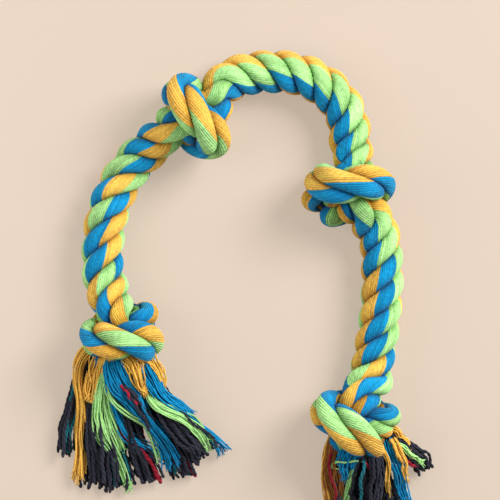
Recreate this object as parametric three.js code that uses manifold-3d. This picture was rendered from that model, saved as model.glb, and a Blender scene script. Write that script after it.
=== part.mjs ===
// A four-knot rope dog toy, lying flat: three laid cotton strands tied in four overhand knots,
// and the yarns of both ends frayed out into tassels. Millimetres, +Z up, the floor at z = 0.
import Module from "manifold-3d";
import * as THREE from "three";

const wasm = await Module();
wasm.setup();

// Rope
const STRAND_DIAMETER = 14.4;
const LAY_LENGTH = 55;
const ARCH_LAY_LENGTH = 49;
const STRAND_COUNT = 3;
const PRESSED_SHARE = 0.94;
const CONTACT_SHARE = 0.9;
const STRAND_ORBIT = (PRESSED_SHARE * STRAND_DIAMETER) / Math.sqrt(STRAND_COUNT);
const ROPE_DIAMETER = 2 * STRAND_ORBIT + STRAND_DIAMETER;

// Knots: where the rope is pulled tight it is thinner, and its strands lie wide and flat
const KNOT_ROPE_DIAMETER = 22;
const KNOT_STRAND_DIAMETER = 14.4;
const KNOT_STRAND_SPACING = 9;
const KNOT_ORBIT_ALONG = 6.2;
const KNOT_ORBIT_ACROSS = 3.4;
const KNOT_LAY_LENGTH = 90;
const TURNED_KNOT_LAY_LENGTH = 64.5;
const KNOT_CENTRE_HEIGHT = 27;
const KNOT_SQUASH_SHARE = 0.22;
const KNOT_REACH_SHARE = 1.5;

// Tassels: the strands fan out behind the last knot, and four locks of yarn leave each of them
const TAIL_FAN_SHARE = 2;
const LOCK_DIAMETER = 12;
const LOCK_ROOT_DIAMETER = 5.6;
const LOCK_ROOT_ORBIT = 4.1;
const LOCK_TIP_SHARE = 0.9;

// Fits
const CONTACT_GAP = 0.7;
const SEAT_GAP = 0.3;
const FLAT_DEPTH = 1.4;

// Fineness
const SECTION_STEP = 5.8;
const STRAND_SIDES = 8;
const LOCK_SIDES = 6;
const LOCK_RING_STEP_COUNT = 2;

// The rope's thickness in the photograph, which gives the size of one of its pixels
const ROPE_PIXEL_COUNT = 42.06;
const PIXEL = ROPE_DIAMETER / ROPE_PIXEL_COUNT;

// Route of the rope from its left end to its right one, between its knots
const LEFT_TAIL_PIXELS = [[115, 368]];
const LEFT_ARM_PIXELS = [
  [112, 303], [105.5, 286], [103.5, 265], [103.5, 242], [106, 219], [114, 195], [129.5, 167], [152, 146],
];
const ARCH_PIXELS = [
  [222, 82], [239, 76.5], [262, 73], [285, 72.5], [306, 77], [324, 86.5], [338, 100], [346, 114],
  [349.5, 129], [349.5, 146], [350, 160],
];
const RIGHT_ARM_PIXELS = [
  [374, 218], [378, 233], [381, 258], [382.5, 284], [380.6, 309], [377.7, 335], [373.3, 360], [369, 388],
];
const RIGHT_TAIL_PIXELS = [[353, 461]];
const TAIL_HEIGHT = 20;

// Knots, by their place in the photograph, their heading along the rope, their roll about it, and the
// lay of the strands in them
const KNOTS = [
  { centrePixels: [123, 332], heading: 108, roll: 220, widthShare: 0.93, lay: TURNED_KNOT_LAY_LENGTH },
  { centrePixels: [196, 117], heading: 52, roll: 278, widthShare: 1.27, lay: KNOT_LAY_LENGTH },
  { centrePixels: [348, 190], heading: -70, roll: 232, widthShare: 1.08, lay: KNOT_LAY_LENGTH },
  { centrePixels: [354.5, 420], heading: -105, roll: 330, widthShare: 1.05, lay: KNOT_LAY_LENGTH },
];

const GOLD = 0xe9a63a;
const LIME = 0x9be06a;
const BLUE = 0x1a86c4;
const TEAL = 0x1f7f8c;
const NAVY = 0x22232f;
const STRAND_COLOURS = [BLUE, LIME, GOLD];

// Locks of yarn, four to a strand, the strands from left to right and the locks of each from its upper
// left round its underside: each lock's course in pixels, across, down, and up from the floor
const LEFT_LOCKS = [
  { name: "gold_outer", dye: GOLD, pixels: [[88, 370, 25], [78, 385, 17], [79, 420, 11], [78, 476, 7]] },
  { name: "teal_outer", dye: TEAL, pixels: [[90, 374, 15], [76, 396, 10], [68, 425, 8], [63, 449, 7]] },
  { name: "navy_left", dye: NAVY, pixels: [[98, 378, 14], [92, 410, 8], [90, 440, 7], [93, 486, 7]] },
  { name: "gold_inner", dye: GOLD, pixels: [[98, 374, 31], [93, 392, 25], [95, 412, 17], [93, 444, 11]] },
  { name: "lime_left", dye: LIME, pixels: [[108, 380, 34], [101, 402, 27], [108, 436, 18], [127, 486, 8]] },
  { name: "navy_middle", dye: NAVY, pixels: [[110, 380, 15], [108, 410, 8], [110, 450, 7], [113, 494, 7]] },
  { name: "navy_inner", dye: NAVY, pixels: [[118, 380, 17], [125, 406, 11], [137, 444, 8], [149, 486, 7]] },
  { name: "blue_middle", dye: BLUE, pixels: [[118, 376, 35], [126, 394, 28], [146, 420, 20], [173, 464, 8]] },
  { name: "gold_right", dye: GOLD, pixels: [[132, 372, 36], [142, 382, 31], [152, 392, 24], [162, 406, 17]] },
  { name: "navy_right", dye: NAVY, pixels: [[128, 380, 15], [144, 412, 8], [166, 444, 7], [184, 478, 7]] },
  { name: "lime_right", dye: LIME, pixels: [[138, 378, 18], [160, 404, 11], [186, 428, 8], [211, 452, 7]] },
  { name: "blue_right", dye: BLUE, pixels: [[142, 372, 34], [160, 388, 25], [188, 412, 17], [226, 450, 8]] },
];
const RIGHT_LOCKS = [
  { name: "gold_outer", dye: GOLD, pixels: [[332, 468, 27], [327, 482, 18], [330, 500, 11], [336, 520, 8]] },
  { name: "navy_outer", dye: NAVY, pixels: [[334, 472, 15], [330, 494, 8], [336, 520, 7], [342, 546, 7]] },
  { name: "lime_outer", dye: LIME, pixels: [[342, 474, 18], [345, 496, 11], [352, 520, 8], [356, 546, 7]] },
  { name: "blue_outer", dye: BLUE, pixels: [[342, 470, 34], [344, 484, 28], [348, 504, 18], [351, 530, 8]] },
  { name: "navy_middle", dye: NAVY, pixels: [[356, 472, 35], [362, 486, 27], [366, 506, 17], [368, 540, 8]] },
  { name: "navy_low", dye: NAVY, pixels: [[354, 474, 17], [358, 498, 10], [366, 522, 7], [370, 550, 7]] },
  { name: "lime_middle", dye: LIME, pixels: [[364, 472, 17], [374, 494, 11], [384, 518, 8], [388, 542, 7]] },
  { name: "gold_middle", dye: GOLD, pixels: [[366, 466, 36], [378, 474, 29], [385, 488, 20], [387, 510, 9]] },
  { name: "blue_right", dye: BLUE, pixels: [[376, 464, 34], [390, 474, 25], [399, 488, 17], [404, 508, 8]] },
  { name: "navy_under", dye: NAVY, pixels: [[374, 472, 15], [388, 490, 8], [400, 510, 7], [408, 532, 7]] },
  { name: "navy_right", dye: NAVY, pixels: [[382, 464, 17], [400, 470, 11], [414, 476, 8], [427, 482, 7]] },
  { name: "lime_right", dye: LIME, pixels: [[384, 458, 34], [398, 460, 25], [409, 464, 20], [420, 470, 13]] },
];
const STRAND_LOCK_COUNT = 4;

const Z_AXIS = new THREE.Vector3(0, 0, 1);

function atPixel([x, y], height) {
  return new THREE.Vector3(x * PIXEL, -y * PIXEL, height);
}

// How far along a line each of its points lies
function lengthsAlong(line) {
  const along = [0];
  for (let i = 1; i < line.length; i++) {
    along.push(along[i - 1] + line[i].distanceTo(line[i - 1]));
  }
  return along;
}

// The same line with a given number of points, equally far apart along it
function evenly(line, count) {
  const along = lengthsAlong(line);
  const points = [];
  let from = 0;
  for (let i = 0; i < count; i++) {
    const at = (along[line.length - 1] * i) / (count - 1);
    while (from < line.length - 2 && along[from + 1] < at) {
      from += 1;
    }
    const share = (at - along[from]) / (along[from + 1] - along[from]);
    points.push(line[from].clone().lerp(line[from + 1], Math.min(share, 1)));
  }
  return points;
}

// Moves each inner point a share of the way to the middle of its neighbours
function smoothed(line, share) {
  return line.map((point, i) => {
    if (i === 0 || i === line.length - 1) {
      return point;
    }
    const middle = line[i - 1].clone().lerp(line[i + 1], 1 / 2);
    return point.clone().lerp(middle, share);
  });
}

// A smooth curve through chosen points
const LEG_POINT_COUNT = 12;

function curveThrough(points) {
  const curve = new THREE.CatmullRomCurve3(points, false, "centripetal");
  return curve.getPoints((points.length - 1) * LEG_POINT_COUNT);
}

// Tight overhand knot, worked out along X with the rope's diameter as its unit
const KNOT_POINT_COUNT = 100;
const KNOT_ROUNDS = 300;
const KNOT_SEED_POINT_COUNT = 90;
const SEED_SHARE = 0.73;
const SEED_CUT_ANGLE = 0.55;
const END_SHARE = 3.2;
const FIRST_GROWN_SHARE = 0.4;
const TIGHTENING_SHARE = 0.4;
const NEIGHBOUR_SHARE = 1.35;

// A small open trefoil whose ends run straight out
function looseKnot() {
  const line = [new THREE.Vector3(-END_SHARE, 0, 0)];
  for (let i = 0; i < KNOT_SEED_POINT_COUNT; i++) {
    const swing = (2 * Math.PI - 2 * SEED_CUT_ANGLE) * (i / (KNOT_SEED_POINT_COUNT - 1));
    const turn = Math.PI + SEED_CUT_ANGLE + swing;
    const x = -(Math.sin(turn) + 2 * Math.sin(2 * turn));
    const y = Math.cos(turn) - 2 * Math.cos(2 * turn);
    const z = -Math.sin(3 * turn);
    line.push(new THREE.Vector3(x, y, z).multiplyScalar(SEED_SHARE));
  }
  line.push(new THREE.Vector3(END_SHARE, 0, 0));
  return line;
}

// Pushes apart the passes of a line that lie nearer to each other than the rope is thick
function pushedApart(line, thick) {
  const along = lengthsAlong(line);
  const apart = Math.ceil((NEIGHBOUR_SHARE * thick * (line.length - 1)) / along[line.length - 1]);
  const moves = line.map(() => new THREE.Vector3());
  const counts = line.map(() => 0);
  for (let i = 0; i < line.length; i++) {
    for (let j = i + apart + 1; j < line.length; j++) {
      const distance = line[i].distanceTo(line[j]);
      if (distance < thick) {
        const push = line[i].clone().sub(line[j]).multiplyScalar((thick - distance) / (2 * distance));
        moves[i].add(push);
        moves[j].sub(push);
        counts[i] += 1;
        counts[j] += 1;
      }
    }
  }
  return line.map((point, i) => {
    const held = i === 0 || i === line.length - 1;
    return held ? point : point.clone().addScaledVector(moves[i], 1 / Math.max(1, counts[i] / 2));
  });
}

// Pulls the knot tight: the line shortens while its rope grows to full thickness
function tightKnot() {
  let line = evenly(looseKnot(), KNOT_POINT_COUNT);
  for (let round = 0; round < KNOT_ROUNDS; round++) {
    const thick = THREE.MathUtils.lerp(FIRST_GROWN_SHARE, 1, Math.min(1, (2 * round) / KNOT_ROUNDS));
    line = smoothed(line, TIGHTENING_SHARE);
    line = pushedApart(line, thick);
    line = pushedApart(line, thick);
    line = evenly(line, KNOT_POINT_COUNT);
  }
  return line;
}

// The knotted stretch alone, with its middle moved on to the axis
function knotStretch() {
  const line = tightKnot();
  const within = line.map((point) => Math.abs(point.x) < KNOT_REACH_SHARE);
  const stretch = line.slice(within.indexOf(true), within.lastIndexOf(true) + 1);
  const middle = new THREE.Box3().setFromPoints(stretch).getCenter(new THREE.Vector3());
  return stretch.map((point) => new THREE.Vector3(point.x, point.y - middle.y, point.z - middle.z));
}

// A knot in its place: squashed along its axis, rolled about it, and turned to its heading
function placedKnot(stretch, { centrePixels, heading, roll, widthShare }) {
  const turn = new THREE.Matrix4().makeRotationZ(THREE.MathUtils.degToRad(heading));
  turn.multiply(new THREE.Matrix4().makeRotationX(THREE.MathUtils.degToRad(roll)));
  const centre = atPixel(centrePixels, KNOT_CENTRE_HEIGHT);
  const shape = new THREE.Vector3(KNOT_SQUASH_SHARE, widthShare, widthShare);
  return stretch.map((point) => {
    const placed = point.clone().multiply(shape).multiplyScalar(KNOT_ROPE_DIAMETER);
    return placed.applyMatrix4(turn).add(centre);
  });
}

function headingOf({ heading }) {
  const angle = THREE.MathUtils.degToRad(heading);
  return new THREE.Vector3(Math.cos(angle), Math.sin(angle), 0);
}

// The whole rope's chosen points, each with how tight the rope is drawn there, its lay length, and
// the knot's axis: free of knots the tightness is 0, and in a knot it is 1
const REST_HEIGHT = ROPE_DIAMETER / 2 - FLAT_DEPTH;
const KNOT_POINT_STEP_COUNT = 2;

function ropeRoute() {
  const stretch = knotStretch().filter((point, i) => i % KNOT_POINT_STEP_COUNT === 0);
  const rest = (pixels, lay) => pixels.map((pixel) => (
    { point: atPixel(pixel, REST_HEIGHT), tight: 0, lay, axis: new THREE.Vector3() }));
  const drawn = (points, place) => points.map((point) => (
    { point, tight: 1, lay: place.lay, axis: headingOf(place) }));
  const knot = (place) => drawn(placedKnot(stretch, place), place);
  const tail = (pixels, place) => pixels.map((pixel) => {
    const sideways = Z_AXIS.clone().cross(headingOf(place)).multiplyScalar(TAIL_FAN_SHARE);
    return { point: atPixel(pixel, TAIL_HEIGHT), tight: 1, lay: place.lay, axis: sideways };
  });
  return [
    ...tail(LEFT_TAIL_PIXELS, KNOTS[0]),
    ...knot(KNOTS[0]),
    ...rest(LEFT_ARM_PIXELS, LAY_LENGTH),
    ...knot(KNOTS[1]),
    ...rest(ARCH_PIXELS, ARCH_LAY_LENGTH),
    ...knot(KNOTS[2]),
    ...rest(RIGHT_ARM_PIXELS, LAY_LENGTH),
    ...knot(KNOTS[3]),
    ...tail(RIGHT_TAIL_PIXELS, KNOTS[3]),
  ];
}

// The rope's stations: its line at even steps, with the values of the route between its points
const LINE_SMOOTHING_ROUNDS = 4;

function ropeStations() {
  const route = ropeRoute();
  const dense = curveThrough(route.map(({ point }) => point));
  const along = lengthsAlong(dense);
  const total = along[dense.length - 1];
  const count = Math.round(total / SECTION_STEP) + 1;
  let line = evenly(dense, count);
  for (let round = 0; round < LINE_SMOOTHING_ROUNDS; round++) {
    line = smoothed(line, 1 / 2);
  }
  let from = 0;
  return line.map((point, i) => {
    while (from < dense.length - 2 && along[from + 1] < (total * i) / (count - 1)) {
      from += 1;
    }
    const leg = Math.min(Math.floor(from / LEG_POINT_COUNT), route.length - 2);
    const share = from / LEG_POINT_COUNT - leg;
    return {
      point,
      tight: THREE.MathUtils.lerp(route[leg].tight, route[leg + 1].tight, share),
      lay: THREE.MathUtils.lerp(route[leg].lay, route[leg + 1].lay, share),
      axis: route[leg].axis.clone().lerp(route[leg + 1].axis, share),
    };
  });
}

// Frames carried along a line without twist
function framesAlong(line) {
  let side = Z_AXIS;
  return line.map((point, i) => {
    const before = line[Math.max(i - 1, 0)];
    const after = line[Math.min(i + 1, line.length - 1)];
    const tangent = after.clone().sub(before).normalize();
    side = side.clone().addScaledVector(tangent, -side.dot(tangent)).normalize();
    return { tangent, side, across: tangent.clone().cross(side) };
  });
}

// Three strand lines wound round the rope's line; in a knot they lie wide and flat
function woundStrands(stations) {
  const frames = framesAlong(stations.map(({ point }) => point));
  const strands = Array.from({ length: STRAND_COUNT }, () => []);
  let turn = 0;
  stations.forEach(({ point, tight, lay, axis }, i) => {
    if (i > 0) {
      turn += (2 * Math.PI * point.distanceTo(stations[i - 1].point)) / lay;
    }
    const orbit = THREE.MathUtils.lerp(STRAND_ORBIT, KNOT_ORBIT_ACROSS, tight);
    const wider = tight * (KNOT_ORBIT_ALONG - KNOT_ORBIT_ACROSS);
    strands.forEach((strand, k) => {
      const angle = turn + (2 * Math.PI * k) / STRAND_COUNT;
      const outward = frames[i].side.clone().multiplyScalar(Math.cos(angle));
      outward.addScaledVector(frames[i].across, Math.sin(angle));
      const place = point.clone().addScaledVector(outward, orbit);
      strand.push(place.addScaledVector(axis, wider * outward.dot(axis)));
    });
  });
  return strands;
}

// Tubes that press on each other move apart until they only touch; each keeps its course as it can
const SETTLE_ROUNDS = 80;
const RETURN_SHARE = 0.02;
const CROWD_SHARE = 0.35;
const OWN_NEIGHBOUR_SHARE = 1.5;

// The points of tubes, with their owners
function sitesOf(tubes) {
  return tubes.flatMap((tube, owner) => tube.line.map((point, index) => ({
    owner,
    index,
    along: index * tube.step,
    fixed: tube.fixed,
    home: point.clone(),
    point: point.clone(),
    radius: tube.radii[index],
  })));
}

// Whether two points lie so near along one tube that they can't press on each other
function sameStretch(a, b, reach) {
  return a.owner === b.owner && Math.abs(a.along - b.along) < reach;
}

function settle(tubes) {
  const sites = sitesOf(tubes);
  for (let round = 0; round < SETTLE_ROUNDS; round++) {
    const moves = sites.map(() => new THREE.Vector3());
    const counts = sites.map(() => 0);
    for (let i = 0; i < sites.length; i++) {
      for (let j = i + 1; j < sites.length; j++) {
        const a = sites[i];
        const b = sites[j];
        const contact = a.radius + b.radius;
        const far = Math.abs(a.point.x - b.point.x) > contact || Math.abs(a.point.y - b.point.y) > contact;
        if (far || (a.fixed && b.fixed) || sameStretch(a, b, OWN_NEIGHBOUR_SHARE * contact)) {
          continue;
        }
        const distance = a.point.distanceTo(b.point);
        if (distance < contact) {
          const push = a.point.clone().sub(b.point).multiplyScalar((contact - distance) / (2 * distance));
          moves[i].add(push);
          moves[j].sub(push);
          counts[i] += 1;
          counts[j] += 1;
        }
      }
    }
    sites.forEach((site, i) => {
      site.point.addScaledVector(moves[i], 1 / Math.max(1, CROWD_SHARE * counts[i]));
      site.point.lerp(site.home, site.fixed ? 1 : RETURN_SHARE);
    });
    const shifts = sites.map((site) => site.point.clone().sub(site.home));
    sites.forEach((site, i) => {
      const inside = sites[i - 1]?.owner === site.owner && sites[i + 1]?.owner === site.owner;
      if (inside && !site.fixed) {
        const middle = shifts[i - 1].clone().lerp(shifts[i + 1], 1 / 2);
        site.point.copy(site.home).add(shifts[i].clone().lerp(middle, 1 / 2));
      }
      if (!site.fixed) {
        site.point.z = Math.max(site.point.z, site.radius - FLAT_DEPTH);
      }
    });
  }
  return tubes.map((tube, owner) => ({
    ...tube,
    line: sites.filter((site) => site.owner === owner).map((site) => site.point),
  }));
}

// How far a tube's skin may reach from a point before it meets a neighbour on the plane between them
function reachTowards(direction, site, neighbours, full) {
  return neighbours.reduce((reach, { point, radius }) => {
    const away = point.clone().sub(site.point);
    const distance = away.length();
    const facing = direction.dot(away) / distance;
    const plane = (distance * site.radius) / (site.radius + radius) - CONTACT_GAP / 2;
    return facing > 0 ? Math.min(reach, plane / facing) : reach;
  }, full);
}

// The triangles of a closed skin through rings of points, with a point in the middle of each end
function skinTriangles(ringCount, sides) {
  const first = ringCount * sides;
  const last = first + 1;
  const triangles = [];
  for (let side = 0; side < sides; side++) {
    const next = (side + 1) % sides;
    triangles.push(first, next, side);
    for (let ring = 0; ring < ringCount - 1; ring++) {
      const a = ring * sides + side;
      const b = ring * sides + next;
      triangles.push(a, b, b + sides, a, b + sides, a + sides);
    }
    triangles.push(last, (ringCount - 1) * sides + side, (ringCount - 1) * sides + next);
  }
  return triangles;
}

// The skins of tubes that lie against each other: round where free, flat where they touch each other
// or the floor. The ends that meet face to face don't press on each other.
const NEIGHBOUR_REACH_SHARE = 2.6;
const OWN_STRETCH_SHARE = 3;
const FACING_SITE_COUNT = 3;

function packedSkins(tubes) {
  const sites = sitesOf(tubes);
  return tubes.map((tube, owner) => {
    const frames = framesAlong(tube.line);
    const rings = [];
    const cores = [];
    tube.line.forEach((point, index) => {
      if (index % tube.stride !== 0 && index !== tube.line.length - 1) {
        return;
      }
      const site = { owner, point, radius: tube.radii[index], along: index * tube.step };
      const full = tube.fullRadii[index];
      const neighbours = sites.filter((other) => {
        const near = other.point.distanceTo(point) < NEIGHBOUR_REACH_SHARE * STRAND_DIAMETER;
        const facing = tube.meets.includes(tubes[other.owner].name) && index < FACING_SITE_COUNT;
        const faced = tubes[other.owner].meets.includes(tube.name) && other.index < FACING_SITE_COUNT;
        return near && !facing && !faced && !sameStretch(site, other, OWN_STRETCH_SHARE * full);
      });
      cores.push(point);
      rings.push(Array.from({ length: tube.sides }, (unused, side) => {
        const angle = (2 * Math.PI * side) / tube.sides;
        const direction = frames[index].side.clone().multiplyScalar(Math.cos(angle));
        direction.addScaledVector(frames[index].across, Math.sin(angle));
        const reach = reachTowards(direction, site, neighbours, full);
        const place = point.clone().addScaledVector(direction, reach);
        place.z = Math.max(place.z, 0);
        return place;
      }));
    });
    return { name: tube.name, colour: tube.colour, cores, rings };
  });
}

// A skin as a solid, grown outwards from its cores
function solidOf({ cores, rings }, growth) {
  const points = rings.flatMap((ring, i) => ring.map((point) => {
    const outward = point.clone().sub(cores[i]).normalize();
    return point.clone().addScaledVector(outward, growth);
  }));
  const positions = [...points, cores[0], cores[cores.length - 1]].flatMap(({ x, y, z }) => [x, y, z]);
  return new wasm.Manifold(new wasm.Mesh({
    numProp: 3,
    vertProperties: new Float32Array(positions),
    triVerts: new Uint32Array(skinTriangles(rings.length, rings[0].length)),
  }));
}

// Draws skins in towards their cores wherever two of them would lie nearer than the seat gap
const EASE_ROUNDS = 40;
const EASE_SHARE = 0.06;
const FIRST_EASE_REACH = 1;
const LAST_EASE_REACH = 4;

function eased(skins) {
  for (let round = 0; round < EASE_ROUNDS; round++) {
    const reach = THREE.MathUtils.lerp(FIRST_EASE_REACH, LAST_EASE_REACH, round / EASE_ROUNDS);
    const solids = skins.map((each) => solidOf(each, SEAT_GAP / 2));
    const pressed = skins.map(() => []);
    for (let i = 0; i < skins.length; i++) {
      for (let j = i + 1; j < skins.length; j++) {
        solids[i].intersect(solids[j]).decompose().forEach((piece) => {
          const { min, max } = piece.boundingBox();
          const box = new THREE.Box3(new THREE.Vector3(...min), new THREE.Vector3(...max));
          pressed[i].push(box.expandByScalar(reach));
          pressed[j].push(box);
        });
      }
    }
    skins.forEach(({ cores, rings }, i) => {
      rings.forEach((ring, index) => ring.forEach((point) => {
        if (pressed[i].some((box) => box.containsPoint(point))) {
          point.lerp(cores[index], EASE_SHARE);
        }
      }));
    });
  }
  return skins;
}

// Strands
function strandTubes() {
  const stations = ropeStations();
  const between = (free, drawn) => stations.map(({ tight }) => THREE.MathUtils.lerp(free, drawn, tight));
  const wound = woundStrands(stations).map((line, k) => ({
    name: `strand_${k + 1}`,
    colour: STRAND_COLOURS[k],
    line,
    step: SECTION_STEP,
    stride: 1,
    sides: STRAND_SIDES,
    radii: between((CONTACT_SHARE * STRAND_ORBIT * Math.sqrt(STRAND_COUNT)) / 2, KNOT_STRAND_SPACING / 2),
    fullRadii: between(STRAND_DIAMETER / 2, KNOT_STRAND_DIAMETER / 2),
    fixed: false,
    meets: [],
  }));
  return settle(wound);
}

// Locks: each leaves the end of its strand beside the strand's other locks, swells, and tapers to its tip
function lockTubes(locks, side, strands, atStart) {
  const names = strands.map(({ name }) => name);
  const lines = strands.map(({ line }) => (atStart ? line : [...line].reverse()));
  lines.sort(([a], [b]) => a.x - b.x);
  return locks.map(({ name, dye, pixels }, i) => {
    const [end, inner] = lines[Math.floor(i / STRAND_LOCK_COUNT)];
    const outward = end.clone().sub(inner).normalize();
    const angle = (2 * Math.PI * ((i % STRAND_LOCK_COUNT) + 1 / 2)) / STRAND_LOCK_COUNT;
    const level = Z_AXIS.clone().addScaledVector(outward, -Z_AXIS.dot(outward)).normalize();
    const root = end.clone().addScaledVector(outward, SEAT_GAP);
    root.addScaledVector(level, LOCK_ROOT_ORBIT * Math.cos(angle));
    root.addScaledVector(outward.clone().cross(level), LOCK_ROOT_ORBIT * Math.sin(angle));
    const start = root.clone().addScaledVector(outward, LOCK_ROOT_DIAMETER / 2);
    const course = pixels.map(([x, y, height]) => atPixel([x, y], height * PIXEL));
    const dense = curveThrough([root, start, ...course]);
    const total = lengthsAlong(dense)[dense.length - 1];
    const count = 2 * Math.round(total / SECTION_STEP / 2) + 1;
    const radii = Array.from({ length: count }, (unused, index) => {
      const share = index / (count - 1);
      const swell = Math.sin(Math.min(1, 2 * share) * (Math.PI / 2));
      const taper = THREE.MathUtils.lerp(1, LOCK_TIP_SHARE, share);
      return (THREE.MathUtils.lerp(LOCK_ROOT_DIAMETER, LOCK_DIAMETER, swell) * taper) / 2;
    });
    return {
      name: `${side}_${name}_lock`,
      colour: dye,
      line: evenly(dense, count),
      step: total / (count - 1),
      stride: LOCK_RING_STEP_COUNT,
      sides: LOCK_SIDES,
      radii,
      fullRadii: radii,
      fixed: false,
      meets: names,
    };
  });
}

const COTTON = { roughness: 0.92, metalness: 0 };

const strands = strandTubes();
const locks = [
  ...lockTubes(LEFT_LOCKS, "left", strands, true),
  ...lockTubes(RIGHT_LOCKS, "right", strands, false),
];
const tubes = settle([...strands.map((strand) => ({ ...strand, fixed: true })), ...locks]);

const toy = new THREE.Group();
eased(packedSkins(tubes)).forEach(({ name, colour, cores, rings }) => {
  const points = [...rings.flat(), cores[0], cores[cores.length - 1]];
  const geometry = new THREE.BufferGeometry().setFromPoints(points);
  geometry.setIndex(skinTriangles(rings.length, rings[0].length));
  geometry.computeVertexNormals();
  const mesh = new THREE.Mesh(geometry, new THREE.MeshStandardMaterial({ color: colour, ...COTTON }));
  mesh.name = name;
  toy.add(mesh);
});

// The origin is on the floor under the middle of the toy
const box = new THREE.Box3().setFromObject(toy);
const middle = box.getCenter(new THREE.Vector3());
toy.position.set(-middle.x, -middle.y, -box.min.z);

export default toy;
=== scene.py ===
"""Looks of a four-knot rope dog toy that lies in an arch on a pale floor.

Three laid cotton strands are tied in four tight overhand knots, and the yarns of both ends are
frayed out into tassels. Every strand is a skin of yarns that are dyed blue, lime green and gold in
three sectors, round a dark core that shows where the tassels open.
"""

import logging
import math
from dataclasses import dataclass, field, replace
from enum import Enum

import bpy
import numpy as np
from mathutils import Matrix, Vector


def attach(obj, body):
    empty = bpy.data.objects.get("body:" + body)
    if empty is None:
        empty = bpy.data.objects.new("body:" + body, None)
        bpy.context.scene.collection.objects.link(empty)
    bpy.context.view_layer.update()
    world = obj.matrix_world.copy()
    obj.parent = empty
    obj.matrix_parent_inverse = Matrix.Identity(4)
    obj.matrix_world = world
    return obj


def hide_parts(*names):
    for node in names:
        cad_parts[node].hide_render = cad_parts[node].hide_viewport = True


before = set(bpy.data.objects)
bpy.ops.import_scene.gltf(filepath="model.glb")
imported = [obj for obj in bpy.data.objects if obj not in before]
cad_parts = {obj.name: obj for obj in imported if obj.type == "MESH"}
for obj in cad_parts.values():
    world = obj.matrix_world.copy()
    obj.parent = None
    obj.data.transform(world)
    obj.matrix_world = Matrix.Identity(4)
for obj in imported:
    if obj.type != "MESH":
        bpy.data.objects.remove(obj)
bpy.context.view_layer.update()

LOG = logging.getLogger("rope_toy")
Array = np.ndarray
Pixel = tuple[float, float]
Colour = tuple[float, float, float]
Socket = bpy.types.NodeSocket

# Metres in a pixel of the view, the pixel in its middle, and the one over the toy's origin.
PIXEL = 0.00071398
VIEW_PIXELS = (250.0, 250.0)
TOY_PIXELS = (243.061, 300.678)
UP = np.array([0.0, 0.0, 1.0])
TURN = 2 * math.pi
GOLDEN_ANGLE = math.pi * (3 - math.sqrt(5))


class Dye(Enum):
    """The colours that the yarns are dyed in, as linear red, green and blue."""

    BLUE = (0.002, 0.295, 0.595)
    LIME = (0.452, 0.838, 0.303)
    GOLD = (0.940, 0.535, 0.090)
    # Teal is the dye of a few stray dark yarns, and also blue yarns painted dark as a painted shade.
    TEAL_AND_SHADED_BLUE = (0.008, 0.190, 0.240)
    NAVY = (0.027, 0.029, 0.047)
    CRIMSON = (0.340, 0.009, 0.028)
    # Gold painted dark brown: a painted shade on gold yarns in the right knot's shadow.
    GOLD_IN_PAINTED_SHADE = (0.340, 0.120, 0.022)


SECTOR_DYES = (Dye.GOLD, Dye.LIME, Dye.BLUE)


@dataclass(frozen=True)
class CottonFinish:
    """Matte twisted cotton: how the plies of a yarn and its lint show.

    Attributes:
        name: name of the material.
        ply_pitch: length of one turn of a yarn's plies, in metres.
        painted_ply_darkness: how much darker the groove between two plies is painted, a
        painted shade.
        ply_height: depth of that groove, in metres.
        lint_shade: how much the lint varies the colour.
        lint_scale: fineness of the lint.
        sheen: weight of the soft sheen of loose fibres.
        sheen_roughness: roughness of that sheen.
        roughness: roughness of the yarn's surface.
        specular: how much of the light the surface throws back as a mirror does.
    """

    name: str
    ply_pitch: float
    painted_ply_darkness: float
    ply_height: float
    lint_shade: float = 0.30
    lint_scale: float = 900.0
    sheen: float = 0.08
    sheen_roughness: float = 0.6
    roughness: float = 0.92
    specular: float = 0.1

    def ply_inputs(self) -> dict[str, float]:
        """What the node group of the plies takes, by the names of its sockets."""
        return {
            "Pitch": self.ply_pitch,
            "Painted Ply Darkness": self.painted_ply_darkness,
            "Lint Shade": self.lint_shade,
            "Lint Scale": self.lint_scale,
        }


LAID_COTTON = CottonFinish(
    "laid_cotton", ply_pitch=0.0036, painted_ply_darkness=0.18, ply_height=0.00018, lint_shade=0.44,
    lint_scale=560.0,
)
FRAYED_COTTON = CottonFinish("frayed_cotton", ply_pitch=0.0052, painted_ply_darkness=0.12, ply_height=0.00010)
PLIED_COTTON = CottonFinish("plied_cotton", ply_pitch=0.0046, painted_ply_darkness=0.55, ply_height=0.00020)
LINT_DETAIL = 3.0
LINT_HEIGHT = 0.6


# Lines


def at_pixel(pixel: Pixel, height: float) -> Array:
    """The point on the toy that a pixel of the view shows.

    Args:
        pixel: place in the view, to the right and down.
        height: height over the floor, in metres.

    Returns:
        The point in the frame of the toy.
    """
    across = (pixel[0] - TOY_PIXELS[0]) * PIXEL
    along = (TOY_PIXELS[1] - pixel[1]) * PIXEL
    return np.array([across, along, height])


def unit(vectors: Array) -> Array:
    """Vectors of length one, along the last axis."""
    return vectors / np.maximum(np.linalg.norm(vectors, axis=-1, keepdims=True), 1e-12)


def lengths_along(line: Array) -> Array:
    """How far along a line each of its points lies."""
    steps = np.linalg.norm(np.diff(line, axis=0), axis=1)
    return np.concatenate([[0.0], np.cumsum(steps)])


def evenly(line: Array, count: int) -> Array:
    """The same line with a number of points that lie equally far apart along it.

    Args:
        line: points, one row each.
        count: how many points to return.

    Returns:
        The points, one row each.
    """
    along = lengths_along(line)
    at = np.linspace(0.0, along[-1], count)
    return np.stack([np.interp(at, along, line[:, axis]) for axis in range(3)], axis=1)


def smoothed(line: Array, share: float) -> Array:
    """Moves each inner point a share of the way to the middle of its two neighbours."""
    moved = line.copy()
    moved[1:-1] += share * ((line[:-2] + line[2:]) / 2 - line[1:-1])
    return moved


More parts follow.
